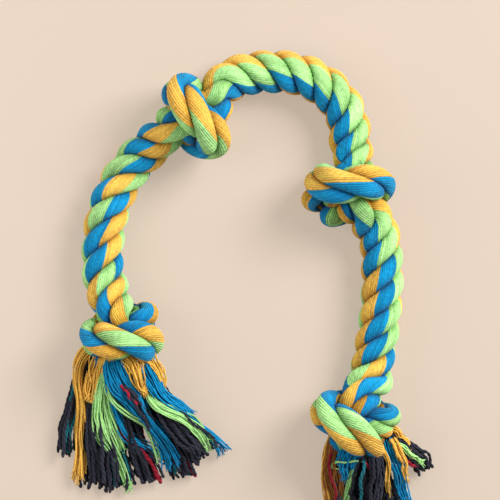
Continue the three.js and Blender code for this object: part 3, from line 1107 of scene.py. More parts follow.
    def wound(self, stations: Stations) -> tuple[Array, Array, Array]:
        """The strands wound round the rope's line; in a knot they lie wide and flat.

        Args:
            stations: the rope's line.

        Returns:
            The strands' lines, the directions from the rope's middle to them, and the turn.
        """
        steps = np.linalg.norm(np.diff(stations.line, axis=0), axis=1)
        turn = np.concatenate([[0.0], np.cumsum(TURN * steps / stations.lay[1:])])
        frames = frames_along(stations.line)
        orbit = self.orbit + (self.knot_orbit_across - self.orbit) * stations.tight
        wider = stations.tight * (self.knot_orbit_along - self.knot_orbit_across)
        lines, outs = [], []
        for index in range(self.strands):
            angle = turn + TURN * index / self.strands
            out = frames.outward(angle[:, None])[:, 0]
            place = stations.line + out * orbit[:, None]
            place = place + stations.axis * (wider * np.sum(out * stations.axis, axis=1))[:, None]
            lines.append(place)
            outs.append(out)
        return np.array(lines), np.array(outs), turn


@dataclass(frozen=True)
class Lay:
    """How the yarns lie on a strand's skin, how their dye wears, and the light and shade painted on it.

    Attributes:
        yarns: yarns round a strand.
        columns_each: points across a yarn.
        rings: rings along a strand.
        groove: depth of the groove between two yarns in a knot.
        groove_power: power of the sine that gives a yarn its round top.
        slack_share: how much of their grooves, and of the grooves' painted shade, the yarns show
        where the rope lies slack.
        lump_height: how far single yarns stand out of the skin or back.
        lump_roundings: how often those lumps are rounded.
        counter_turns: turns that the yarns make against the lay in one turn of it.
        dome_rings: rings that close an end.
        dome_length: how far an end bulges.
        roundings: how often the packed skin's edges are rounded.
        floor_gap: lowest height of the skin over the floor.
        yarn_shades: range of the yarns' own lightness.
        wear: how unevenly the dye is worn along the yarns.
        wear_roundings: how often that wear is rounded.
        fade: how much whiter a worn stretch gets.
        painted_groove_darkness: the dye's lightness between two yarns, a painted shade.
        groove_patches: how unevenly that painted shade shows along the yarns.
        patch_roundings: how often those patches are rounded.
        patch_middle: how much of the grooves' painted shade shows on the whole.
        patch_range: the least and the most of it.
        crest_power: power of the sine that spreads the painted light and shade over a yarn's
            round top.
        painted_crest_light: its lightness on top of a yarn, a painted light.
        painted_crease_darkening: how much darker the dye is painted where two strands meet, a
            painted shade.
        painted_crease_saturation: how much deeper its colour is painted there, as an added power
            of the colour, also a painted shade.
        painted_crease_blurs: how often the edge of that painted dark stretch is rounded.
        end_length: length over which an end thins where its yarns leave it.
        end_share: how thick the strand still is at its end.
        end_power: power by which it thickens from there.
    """

    yarns: int = 24
    columns_each: int = 6
    rings: int = 664
    groove: float = 0.00040
    groove_power: float = 0.7
    slack_share: float = 0.55
    lump_height: float = 0.00016
    lump_roundings: int = 2
    counter_turns: float = 2.0
    dome_rings: int = 6
    dome_length: float = 0.003
    roundings: int = 2
    floor_gap: float = 0.0001
    yarn_shades: tuple[float, float] = (0.80, 1.14)
    wear: float = 0.40
    wear_roundings: int = 6
    fade: float = 0.03
    painted_groove_darkness: float = 0.50
    groove_patches: float = 2.4
    patch_roundings: int = 3
    patch_middle: float = 0.75
    patch_range: tuple[float, float] = (0.1, 1.5)
    crest_power: float = 0.5
    painted_crest_light: float = 1.04
    painted_crease_darkening: float = 0.93
    painted_crease_saturation: float = 0.6
    painted_crease_blurs: int = 12
    end_length: float = 0.013
    end_share: float = 0.45
    end_power: float = 0.7


@dataclass
class Strand:
    """One of the rope's strands.

    Attributes:
        name: its node.
        slot: the name of its finish; not used.
        line: its fine line.
        reaches: how far its skin reaches, by ring and direction.
        painted_crease_mask: how near it is to where it meets another strand, by ring and
        direction, from 0 to 1; it sets the painted shade in the creases.
        phase: where the rope's outside lies round it, by ring, in radians.
        turn: the lay's turn, by ring.
        share: how far along the rope each ring is, from 0 to 1.
        tight: how tight the rope is drawn there, from 0 to 1.
        lay: how its yarns lie.
        dye_turns: how far its dyed sectors are turned, as places along the rope and turns there.
        seed: seed of its small irregularities.
        index: its number in the rope, from 0.
    """

    name: str
    slot: str
    line: Array
    reaches: Array
    painted_crease_mask: Array
    phase: Array
    turn: Array
    share: Array
    tight: Array
    lay: Lay
    dye_turns: tuple[tuple[float, float], ...]
    seed: int
    index: int

    def surface(self) -> Surface:
        """The strand's skin of yarns, with its colours."""
        draw = np.random.default_rng(self.seed)
        lay = self.lay
        frames, angle = frames_along(self.line), self.column_angles()
        drawn = lay.slack_share + (1 - lay.slack_share) * self.tight
        reach = self.yarn_reaches(draw, angle, drawn)
        skin = self.line[:, None] + frames.outward(angle) * reach[..., None]
        rings, along = self.domed(skin, frames)
        ends = (lay.dome_rings, lay.dome_rings)
        crease = np.pad(read_round(self.painted_crease_mask, angle), (ends, (0, 0)), mode="edge")
        colours = self.colours(draw, crease, np.pad(drawn, ends, mode="edge"))
        return grid_surface(rings[None], colours[None], along[None], lay.yarns)

    def column_angles(self) -> Array:
        """The angles of the grid's columns, which follow the yarns, by ring and column.

        A column's angle round the strand is the angle of the rope's outside, less two turns for
        each turn of the lay and less the dye's turn, plus its own share of the circle. So the
        yarns run about parallel with the rope where they show.
        """
        columns = self.lay.yarns * self.lay.columns_each
        dyed = TURN * np.interp(self.share, *np.transpose(self.dye_turns))
        own_turn = self.turn + TURN * self.index / len(SECTOR_DYES)
        start = self.phase - self.lay.counter_turns * own_turn - dyed
        return start[:, None] + TURN * np.arange(columns) / columns

    def yarn_reaches(self, draw: np.random.Generator, angle: Array, drawn: Array) -> Array:
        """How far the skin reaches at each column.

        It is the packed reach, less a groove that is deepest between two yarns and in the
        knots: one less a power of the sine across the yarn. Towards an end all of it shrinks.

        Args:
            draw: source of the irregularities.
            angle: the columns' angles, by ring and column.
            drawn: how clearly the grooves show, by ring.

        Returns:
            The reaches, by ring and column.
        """
        lay = self.lay
        across = np.arange(angle.shape[1]) % lay.columns_each / lay.columns_each
        lumps = draw.normal(0.0, lay.lump_height, (len(self.line), lay.yarns))
        lumps = np.repeat(blurred(lumps, lay.lump_roundings), lay.columns_each, axis=1)
        grooves = (1 - np.sin(math.pi * across) ** lay.groove_power) * drawn[:, None]
        reach = read_round(self.reaches, angle) + lumps - lay.groove * grooves
        along = lengths_along(self.line)
        to_end = np.clip(np.minimum(along, along[-1] - along) / lay.end_length, 0, 1)
        return reach * (lay.end_share + (1 - lay.end_share) * to_end**lay.end_power)[:, None]

    def domed(self, skin: Array, frames: Frames) -> tuple[Array, Array]:
        """The skin with a round dome at each end, over the floor.

        Args:
            skin: points, by ring and column.
            frames: the frames of the strand's line.

        Returns:
            The points, by ring and column, and how far along the strand each ring lies.
        """
        lay = self.lay
        dome = np.arange(1, lay.dome_rings + 1) / (lay.dome_rings + 1)
        swell, inset = lay.dome_length * np.sin(dome * math.pi / 2), np.cos(dome * math.pi / 2)
        domes = []
        for end, ahead in ((0, -1.0), (-1, 1.0)):
            middle, bulge = self.line[end], ahead * frames.tangent[end]
            shrunk = middle + (skin[end] - middle) * inset[:, None, None]
            domes.append(shrunk + bulge * swell[:, None, None])
        rings = np.concatenate([domes[0][::-1], skin, domes[1]])
        rings[..., 2] = np.maximum(rings[..., 2], lay.floor_gap)
        along = lengths_along(self.line)
        return rings, np.concatenate([along[0] - swell[::-1], along, along[-1] + swell])

    def colours(self, draw: np.random.Generator, crease: Array, drawn: Array) -> Array:
        """The dye at each point: a third of the yarns in each colour, no two quite alike.

        Painted shade makes the dye darker and deeper in colour down in the creases between the
        strands, and darker between two yarns; painted light makes it a little lighter on top of
        each yarn.

        Args:
            draw: source of the irregularities.
            crease: how deep in a crease each point is, by ring and column, for the painted shade.
            drawn: how clearly the grooves and their painted shade show, by ring.

        Returns:
            Linear colours, by ring and column.
        """
        lay = self.lay
        dyes = np.array([dye.value for dye in SECTOR_DYES])
        sector = np.arange(lay.yarns) * len(dyes) // lay.yarns
        base = dyes[sector] * draw.uniform(*lay.yarn_shades, (lay.yarns, 1))
        wear = blurred(draw.normal(0.0, lay.wear, (len(crease), lay.yarns)), lay.wear_roundings)
        tint = base[None] * (1 + wear[..., None])
        tint = tint + lay.fade * np.clip(wear[..., None], 0, 1)
        wide = np.repeat(tint, lay.columns_each, axis=1)
        # Painted light on each yarn's round top and painted shade in the grooves between yarns.
        across = np.arange(wide.shape[1]) % lay.columns_each
        round_top = np.sin(math.pi * across / lay.columns_each) ** lay.crest_power
        patches = draw.normal(0.0, lay.groove_patches, (len(crease), lay.yarns))
        patches = lay.patch_middle + blurred(patches, lay.patch_roundings)
        patches = np.repeat(np.clip(patches, *lay.patch_range), lay.columns_each, axis=1)
        patches = patches * drawn[:, None]
        shade = lay.painted_crest_light - (lay.painted_crest_light - lay.painted_groove_darkness) * (1 - round_top) * patches
        # Painted shade in the creases between strands: darker, and deeper in colour.
        shade = shade * (1 - lay.painted_crease_darkening * crease)
        deep = np.clip(wide, 0.0, 1.0) ** (1 + lay.painted_crease_saturation * crease[..., None])
        return np.clip(deep * shade[..., None], 0.0, 1.0)


# The tassels


@dataclass(frozen=True)
class Wisp:
    """Yarns of a lock that lie side by side.

    Attributes:
        dye: the colour of most of them.
        yarns: how many there are.
        course: its points, across and down in the view, up from the floor, and the half width
            that the yarns take there, all in pixels.
    """

    dye: Dye
    yarns: int
    course: tuple[tuple[float, float, float, float], ...]


@dataclass(frozen=True)
class Lock:
    """A lock of a tassel: its node without the side it is on, the dye that picks its finish, and its
    wisps.
    """

    name: str
    dye: Dye
    wisps: tuple[Wisp, ...]


LEFT_LOCKS = (
    Lock("gold_outer", Dye.GOLD, (
        Wisp(Dye.GOLD, 26, (
            (92, 346, 34, 6), (82, 358, 34, 6), (78, 376, 28, 4), (80, 402, 21, 4),
            (80, 428, 15, 4), (80, 454, 10, 4), (76, 483, 6, 6),
        )),
        Wisp(Dye.NAVY, 6, (
            (94, 360, 22, 3), (83, 386, 17, 4), (80, 424, 9, 4), (79, 462, 5, 4),
        )),
    )),
    Lock("teal_outer", Dye.TEAL_AND_SHADED_BLUE, (
        Wisp(Dye.NAVY, 16, (
            (94, 358, 24, 4), (81, 380, 19, 5), (73, 404, 13, 5), (68, 430, 8, 6), (66, 458, 4, 6),
        )),
        # Blue yarns painted dark teal: a painted shade on this outer lock.
        Wisp(Dye.TEAL_AND_SHADED_BLUE, 8, (
            (90, 358, 22, 3), (77, 384, 17, 4), (70, 412, 11, 4), (64, 444, 4, 4),
        )),
    )),
    Lock("navy_left", Dye.NAVY, (
        Wisp(Dye.NAVY, 34, (
            (104, 358, 24, 7), (97, 390, 19, 9), (93, 424, 13, 10), (95, 460, 8, 12),
            (97, 491, 4, 14),
        )),
    )),
    Lock("gold_inner", Dye.GOLD, (
        Wisp(Dye.GOLD, 24, (
            (102, 344, 38, 7), (99, 360, 38, 7), (96, 378, 33, 5), (93, 398, 27, 4),
        )),
        Wisp(Dye.GOLD, 12, (
            (104, 346, 38, 4), (103, 364, 39, 3), (99, 386, 33, 3), (93, 401, 28, 3),
            (88, 392, 28, 3), (90, 374, 30, 3),
        )),
        Wisp(Dye.GOLD, 5, (
            (92, 366, 32, 3), (85, 396, 26, 3), (86, 420, 19, 3), (93, 442, 13, 2),
            (92, 463, 8, 3),
        )),
    )),
    Lock("lime_left", Dye.LIME, (
        Wisp(Dye.LIME, 28, (
            (107, 352, 34, 3), (105, 372, 37, 3), (101, 392, 34, 7), (100, 412, 28, 9),
            (105, 436, 21, 8), (119, 460, 13, 4), (128, 490, 6, 3),
        )),
        Wisp(Dye.LIME, 11, (
            (108, 358, 34, 2), (107, 382, 38, 3), (115, 402, 37, 3), (130, 415, 33, 3),
            (146, 424, 28, 4), (153, 438, 21, 3), (159, 463, 12, 3),
        )),
        Wisp(Dye.LIME, 6, (
            (106, 368, 34, 2), (107, 396, 32, 3), (115, 426, 24, 3), (123, 452, 14, 4),
        )),
    )),
    Lock("navy_middle", Dye.NAVY, (
        Wisp(Dye.NAVY, 36, (
            (113, 360, 22, 6), (109, 394, 17, 9), (109, 430, 11, 10), (112, 464, 7, 12),
            (114, 493, 4, 12),
        )),
    )),
    Lock("navy_inner", Dye.NAVY, (
        Wisp(Dye.NAVY, 40, (
            (121, 360, 22, 6), (123, 396, 17, 9), (131, 430, 11, 11), (140, 460, 6, 13),
            (146, 486, 4, 14),
        )),
        Wisp(Dye.CRIMSON, 2, (
            (116, 424, 18, 1), (126, 438, 19, 1), (146, 456, 15, 1), (162, 488, 8, 1),
        )),
    )),
    Lock("blue_middle", Dye.BLUE, (
        Wisp(Dye.BLUE, 74, (
            (115, 344, 38, 10), (117, 360, 43, 13), (123, 380, 42, 15), (134, 398, 36, 11),
            (146, 415, 30, 5), (158, 432, 22, 5), (168, 450, 13, 6), (173, 468, 8, 8),
        )),
        Wisp(Dye.BLUE, 14, (
            (110, 366, 34, 3), (112, 392, 33, 3), (118, 418, 26, 4), (130, 438, 20, 4),
            (148, 448, 16, 5), (168, 458, 12, 4), (184, 466, 8, 4),
        )),
        Wisp(Dye.NAVY, 7, (
            (125, 384, 44, 1), (132, 394, 44, 3), (141, 407, 38, 4), (148, 419, 32, 4),
            (153, 431, 25, 3),
        )),
        Wisp(Dye.CRIMSON, 1, (
            (122, 384, 44, 1), (130, 394, 46, 1), (138, 404, 42, 1),
        )),
    )),
    Lock("gold_right", Dye.GOLD, (
        Wisp(Dye.GOLD, 48, (
            (127, 344, 40, 9), (132, 359, 47, 9), (138, 374, 46, 6), (144, 392, 41, 2),
        )),
        Wisp(Dye.GOLD, 26, (
            (142, 346, 40, 7), (151, 360, 45, 7), (159, 373, 42, 5), (164, 390, 34, 2),
        )),
    )),
    Lock("navy_right", Dye.NAVY, (
        Wisp(Dye.NAVY, 54, (
            (146, 364, 26, 6), (159, 394, 27, 9), (175, 417, 23, 12), (191, 437, 14, 14),
            (207, 454, 5, 15),
        )),
        Wisp(Dye.NAVY, 34, (
            (134, 364, 20, 6), (146, 402, 16, 8), (162, 434, 11, 11), (176, 460, 6, 13),
            (186, 480, 4, 12),
        )),
        Wisp(Dye.CRIMSON, 1, (
            (168, 440, 18, 1), (182, 458, 13, 1), (197, 477, 6, 1),
        )),
    )),
    Lock("lime_right", Dye.LIME, (
        Wisp(Dye.LIME, 26, (
            (143, 366, 28, 3), (148, 390, 34, 3), (157, 405, 42, 5), (169, 411, 41, 6),
            (181, 415, 38, 6), (192, 422, 32, 6), (201, 433, 24, 5), (210, 449, 12, 5),
        )),
    )),
    Lock("blue_right", Dye.BLUE, (
        Wisp(Dye.BLUE, 52, (
            (145, 350, 35, 8), (148, 369, 41, 8), (155, 384, 40, 8), (164, 396, 37, 7),
            (178, 407, 31, 6), (191, 417, 25, 4),
        )),
        Wisp(Dye.BLUE, 18, (
            (147, 354, 35, 6), (153, 377, 40, 5), (168, 397, 37, 5), (187, 413, 31, 4),
            (203, 428, 23, 4), (215, 441, 15, 5), (227, 455, 7, 7),
        )),
    )),
)
RIGHT_LOCKS = (
    Lock("gold_outer", Dye.GOLD, (
        Wisp(Dye.GOLD, 40, (
            (337, 434, 36, 8), (331, 450, 36, 8), (330, 470, 29, 9), (334, 494, 19, 9),
            (339, 521, 9, 10),
        )),
        # Gold yarns painted brown as a painted shade under the knot.
        Wisp(Dye.GOLD_IN_PAINTED_SHADE, 46, (
            (339, 434, 38, 7), (334, 450, 39, 8), (334, 470, 32, 9), (337, 494, 22, 9),
            (342, 521, 11, 10),
        )),
        Wisp(Dye.NAVY, 10, (
            (337, 446, 31, 5), (333, 464, 30, 7), (336, 490, 19, 9), (343, 520, 8, 9),
        )),
        Wisp(Dye.CRIMSON, 1, (
            (334, 442, 41, 3), (329, 460, 40, 4), (333, 486, 30, 5), (339, 516, 16, 5),
        )),
    )),
    Lock("navy_outer", Dye.NAVY, (
        Wisp(Dye.NAVY, 30, (
            (342, 450, 22, 7), (336, 478, 16, 9), (339, 508, 9, 10), (344, 545, 4, 11),
        )),
    )),
    Lock("lime_outer", Dye.LIME, (
        Wisp(Dye.LIME, 12, (
            (358, 446, 34, 3), (357, 461, 37, 3), (350, 482, 31, 3), (346, 508, 19, 4),
            (351, 544, 7, 5),
        )),
        Wisp(Dye.LIME, 2, (
            (364, 450, 43, 0.5), (367, 459, 44, 0.5), (350, 460, 44, 0.5), (334, 461, 42, 1),
            (332, 467, 38, 1), (342, 470, 35, 1),
        )),
    )),
    Lock("blue_outer", Dye.BLUE, (
        Wisp(Dye.BLUE, 54, (
            (350, 438, 37, 8), (348, 452, 41, 9), (345, 463, 37, 8), (345, 475, 28, 4),
        )),
        Wisp(Dye.NAVY, 14, (
            (348, 446, 30, 6), (344, 468, 27, 7), (343, 494, 18, 8), (347, 528, 8, 9),
        )),
    )),
    Lock("navy_middle", Dye.NAVY, (
        Wisp(Dye.NAVY, 52, (
            (367, 440, 36, 9), (371, 458, 38, 12), (372, 480, 31, 14), (372, 506, 18, 13),
            (371, 539, 6, 13),
        )),
        Wisp(Dye.CRIMSON, 1, (
            (358, 450, 44, 1), (365, 460, 48, 1), (375, 474, 42, 1),
        )),
    )),
    Lock("navy_low", Dye.NAVY, (
        Wisp(Dye.NAVY, 32, (
            (358, 450, 22, 8), (358, 486, 14, 11), (364, 516, 8, 12), (369, 548, 4, 12),
        )),
    )),
    Lock("lime_middle", Dye.LIME, (
        Wisp(Dye.LIME, 14, (
            (368, 460, 20, 5), (376, 488, 15, 5), (384, 514, 9, 6), (389, 542, 4, 7),
        )),
    )),
    Lock("gold_middle", Dye.GOLD, (
        Wisp(Dye.GOLD, 10, (
            (379, 444, 37, 3), (386, 457, 40, 3), (387, 474, 35, 3), (388, 492, 24, 3),
            (389, 511, 11, 4),
        )),
    )),
    Lock("blue_right", Dye.BLUE, (
        Wisp(Dye.BLUE, 34, (
            (387, 438, 34, 7), (392, 454, 36, 7), (397, 470, 31, 7), (401, 488, 21, 7),
            (404, 510, 9, 8),
        )),
        Wisp(Dye.GOLD, 16, (
            (391, 438, 37, 4), (398, 451, 41, 4), (403, 464, 36, 3), (405, 476, 28, 2),
        )),
    )),
    Lock("navy_under", Dye.NAVY, (
        Wisp(Dye.NAVY, 32, (
            (376, 450, 22, 8), (386, 484, 14, 10), (398, 508, 8, 10), (408, 533, 4, 11),
        )),
    )),
    Lock("navy_right", Dye.NAVY, (
        Wisp(Dye.NAVY, 34, (
            (386, 432, 29, 8), (398, 442, 28, 8), (409, 451, 21, 8), (418, 460, 12, 8),
            (425, 470, 5, 8),
        )),
        Wisp(Dye.CRIMSON, 1, (
            (396, 450, 33, 1), (406, 461, 29, 1), (418, 468, 18, 1),
        )),
    )),
    Lock("lime_right", Dye.LIME, (
        Wisp(Dye.LIME, 10, (
            (390, 440, 36, 3), (400, 446, 37, 3), (410, 454, 31, 3), (421, 463, 22, 3),
        )),
        Wisp(Dye.GOLD, 7, (
            (388, 424, 38, 3), (396, 431, 37, 3), (403, 438, 33, 2), (409, 447, 27, 2),
        )),
    )),
)
DARK_DYES = (Dye.NAVY, Dye.TEAL_AND_SHADED_BLUE, Dye.CRIMSON)


@dataclass(frozen=True)
class YarnForm:
    """A loose yarn's form.

    Attributes:
        radius: its radius.
        sides: its sides.
        ring_step: about how far apart its rings are.
        ply_depth: how deep the groove between its plies is, as a share of the radius.
        ply_pitch: length of one turn of its plies.
        tip: its thickness at its last four places, as shares.
        split: how many plies its end comes apart into.
    """

    radius: float
    sides: int
    ring_step: float
    ply_depth: float
    ply_pitch: float
    tip: tuple[float, float, float, float]
    split: int


SOFT_YARN = YarnForm(
    radius=0.00053, sides=6, ring_step=0.0022, ply_depth=0.0, ply_pitch=FRAYED_COTTON.ply_pitch,
    tip=(1.0, 1.0, 0.95, 0.8), split=3,
)
PLIED_YARN = YarnForm(
    radius=0.00112, sides=8, ring_step=0.0008, ply_depth=0.16, ply_pitch=PLIED_COTTON.ply_pitch,
    tip=(1.0, 1.05, 1.18, 0.75), split=0,
)


@dataclass(frozen=True)
class SplitEnd:
    """How the end of a soft yarn comes apart into its plies.

    Attributes:
        stray: how far a ply turns from the yarn's own way.
        lengths: range of the plies' lengths.
        places: places of a ply's rings, as shares of its length.
        bend: how far its end bends.
        thickness: its thickness at those places, in radii of the yarn.
        sides: its sides.
    """

    stray: float = 0.2
    lengths: tuple[float, float] = (0.002, 0.005)
    places: tuple[float, ...] = (0.0, 0.4, 0.75, 1.0)
    bend: float = 0.0008
    thickness: tuple[float, ...] = (0.55, 0.6, 0.55, 0.35)
    sides: int = 4


@dataclass(frozen=True)
class Tassel:
    """One frayed end of the rope.

    Attributes:
        side: "left" or "right".
        locks: its locks, four to a strand, from left to right.
        seed: seed of its irregularities.
        stations: places along a wisp where the order of its yarns is drawn.
        between: steps that each leg of a wisp's course is cut into.
        lengths: range of the yarns' lengths, as shares of the wisp's.
        twist: how far a wisp may turn by its end, in radians.
        room: how much room a yarn takes, in areas of its own section.
        flattest: most height that a wisp's section may have, as a share of its width.
        spread: how far a yarn strays from its place by the wisp's end, as a share of its width.
        wave: how far the yarns wave.
        shared_waves: waves along a wisp that its yarns share.
        own_waves: range of the waves along a yarn of its own.
        own_wave: height of those waves, as a share of the shared ones'.
        wave_growth: one over the share of the way in which the waves grow to their full height.
        clearance: lowest height of a yarn's middle, in its radii.
        thicknesses: range of the yarns' thicknesses, as shares.
        tip_step: distance between the last places of a yarn where its thickness changes.
        yarn_shades: range of the yarns' own lightness.
        stray_share: share of the dark yarns that have another dark dye.
        split_end: how the soft yarns' ends come apart.
    """

    side: str
    locks: tuple[Lock, ...]
    seed: int
    stations: int = 14
    between: int = 8
    lengths: tuple[float, float] = (0.9, 1.0)
    twist: float = 0.9
    room: float = 1.5
    flattest: float = 1.2
    spread: float = 0.34
    wave: float = 0.00055
    shared_waves: float = 1.7
    own_waves: tuple[float, float] = (2.0, 4.0)
    own_wave: float = 0.5
    wave_growth: float = 2.5
    clearance: float = 1.4
    thicknesses: tuple[float, float] = (0.86, 1.12)
    tip_step: float = 0.0015
    yarn_shades: tuple[float, float] = (0.74, 1.14)
    stray_share: float = 0.10
    split_end: SplitEnd = SplitEnd()

    def yarns(self, lock: Lock, draw: np.random.Generator) -> Surface:
        """All the yarns of a lock as one surface."""
        return joined([self.wisp_surface(wisp, draw) for wisp in lock.wisps])

    def wisp_surface(self, wisp: Wisp, draw: np.random.Generator) -> Surface:
        """The yarns of one wisp.

        Args:
            wisp: the wisp.
            draw: source of the irregularities.

        Returns:
            Its yarns as one surface.
        """
        form = PLIED_YARN if wisp.dye in DARK_DYES else SOFT_YARN
        places = np.array([at_pixel((x, y), z * PIXEL) for x, y, z, _ in wisp.course])
        course = curve_through(places, self.between)
        total = float(lengths_along(course)[-1])
        control = self.yarn_lines(wisp, course, form.radius, draw)
        steps = max(3, round(total / (self.stations - 1) / form.ring_step))
        fine = curve_through(control, steps)
        fine[..., 2] = np.maximum(fine[..., 2], self.clearance * form.radius)
        ring = np.linspace(0.0, 1.0, fine.shape[1])[None]
        ends = total / self.tip_step
        thick = np.interp(ring, [0.0, 1 - 4 / ends, 1 - 2 / ends, 1 - 1 / ends, 1.0], [1.0, *form.tip])
        thick = thick * form.radius * draw.uniform(*self.thicknesses, (wisp.yarns, 1))
        colours = self.yarn_colours(wisp, draw)
        main = self.tubes_surface(fine, thick, colours, form)
        if not form.split:
            return main
        return joined([main, self.split_ends(fine, form, colours, draw)])

    def yarn_lines(self, wisp: Wisp, course: Array, radius: float, draw: np.random.Generator) -> Array:
        """Points on the yarns of a wisp.

        The yarns start inside the knot, and each keeps its place in the wisp's oval section as
        the section turns and changes. A yarn's place is its centre plus (u w, v h): u and v are
        spaced by the golden angle, w is the wisp's half width, and h is what room they need.

        Args:
            wisp: the wisp.
            course: its fine course.
            radius: a yarn's radius.
            draw: source of the irregularities.

        Returns:
            The points, by yarn and station.
        """
        along = lengths_along(course) / lengths_along(course)[-1]
        frames = frames_along(course)
        share = np.linspace(0.0, 1.0, self.stations)
        at = share[None] * draw.uniform(*self.lengths, (wisp.yarns, 1))
        centre, side, across = (
            np.stack([np.interp(at, along, values) for values in vectors.T], axis=-1)
            for vectors in (course, frames.side, frames.across)
        )
        wide = np.interp(at, along[:: self.between], np.array(wisp.course)[:, 3] * PIXEL)
        high = np.clip(self.room * wisp.yarns * radius**2 / wide, radius, self.flattest * wide)
        order = np.arange(wisp.yarns)[:, None] + 0.5
        turned = order * GOLDEN_ANGLE + share[None] * draw.uniform(-self.twist, self.twist)
        stray = self.spread / math.sqrt(self.stations)
        strayed = np.cumsum(draw.normal(0.0, stray, (2, *at.shape)), axis=2)
        aside = np.sqrt(order / wisp.yarns) * np.cos(turned) + strayed[0]
        above = np.sqrt(order / wisp.yarns) * np.sin(turned) + strayed[1]
        placed = centre + across * (aside * wide)[..., None] + side * (above * high)[..., None]
        return placed + self.waves(share[None, :, None], wisp.yarns, draw)

    def waves(self, share: Array, count: int, draw: np.random.Generator) -> Array:
        """How far the yarns of a wisp wave from their places.

        A wave is a sine of the share of the way that all yarns have, plus half as high a sine
        of each yarn's own. Both grow from nothing at the knot.

        Args:
            share: the share of the way, by station.
            count: number of the yarns.
            draw: source of the irregularities.

        Returns:
            The moves, by yarn and station.
        """
        shared, own = draw.uniform(0.0, TURN, 3), draw.uniform(0.0, TURN, (count, 1, 3))
        rate = draw.uniform(*self.own_waves, (count, 1, 3))
        waves = np.sin(TURN * self.shared_waves * share + shared)
        waves = waves + self.own_wave * np.sin(TURN * rate * share + own)
        return self.wave * waves * np.minimum(1.0, self.wave_growth * share)

    def yarn_colours(self, wisp: Wisp, draw: np.random.Generator) -> Array:
        """A colour for each yarn of a wisp; a few of the dark ones are teal or crimson.

        Args:
            wisp: the wisp.
            draw: source of the irregularities.

        Returns:
            Linear colours, one row for each yarn.
        """
        dyes = np.tile(np.array(wisp.dye.value), (wisp.yarns, 1))
        if wisp.dye is Dye.NAVY:
            pick = draw.uniform(0.0, 1.0, wisp.yarns)
            dyes[pick < self.stray_share] = Dye.TEAL_AND_SHADED_BLUE.value
            dyes[pick < self.stray_share / 2] = Dye.CRIMSON.value
        return dyes * draw.uniform(*self.yarn_shades, (wisp.yarns, 1))

    def split_ends(
        self, yarns: Array, form: YarnForm, colours: Array, draw: np.random.Generator
    ) -> Surface:
        """The plies that a yarn's end comes apart into, as thin tubes that spread from it.

        Args:
            yarns: the yarns' lines.
            form: their form.
            colours: their colours.
            draw: source of the irregularities.

        Returns:
            The plies as one surface.
        """
        end = self.split_end
        tip = np.repeat(yarns[:, -2], form.split, axis=0)
        ahead = unit(np.repeat(yarns[:, -1] - yarns[:, -2], form.split, axis=0))
        stray = unit(ahead + draw.normal(0.0, end.stray, ahead.shape))
        reach = draw.uniform(*end.lengths, (len(tip), 1))
        share = np.array(end.places)[None, :, None]
        bend = draw.normal(0.0, end.bend, ahead.shape)[:, None] * share**2
        lines = tip[:, None] + (stray * reach)[:, None] * share + bend
        lines[..., 2] = np.maximum(lines[..., 2], form.radius / 2)
        thick = np.broadcast_to(form.radius * np.array(end.thickness), lines.shape[:2])
        ply = replace(form, sides=end.sides, ply_depth=0.0)
        return self.tubes_surface(lines, thick, np.repeat(colours, form.split, axis=0), ply)

    def tubes_surface(self, lines: Array, radii: Array, colours: Array, form: YarnForm) -> Surface:
        """Tubes along many lines, each in one colour, with two plies wound round each other.

        A point's radius is r (1 - d cos(2 a + 2 pi s / p)): a is its angle, s its place along
        the tube, d the depth of the plies' groove and p their pitch.

        Args:
            lines: points, by tube and ring.
            radii: radii, by tube and ring.
            colours: a colour for each tube.
            form: the yarns' form.

        Returns:
            The tubes as one surface.
        """
        angle = TURN * np.arange(form.sides) / form.sides
        out = frames_along(lines).outward(angle)
        steps = np.linalg.norm(np.diff(lines, axis=1), axis=2)
        along = np.concatenate([np.zeros((len(lines), 1)), np.cumsum(steps, axis=1)], axis=1)
        plies = np.cos(2 * angle + TURN * along[..., None] / form.ply_pitch)
        reach = radii[..., None] * (1 - form.ply_depth * plies)
        rings = lines[:, :, None] + out * reach[..., None]
        tints = np.broadcast_to(colours[:, None, None], rings.shape)
        return grid_surface(rings, tints, along, 2.0)


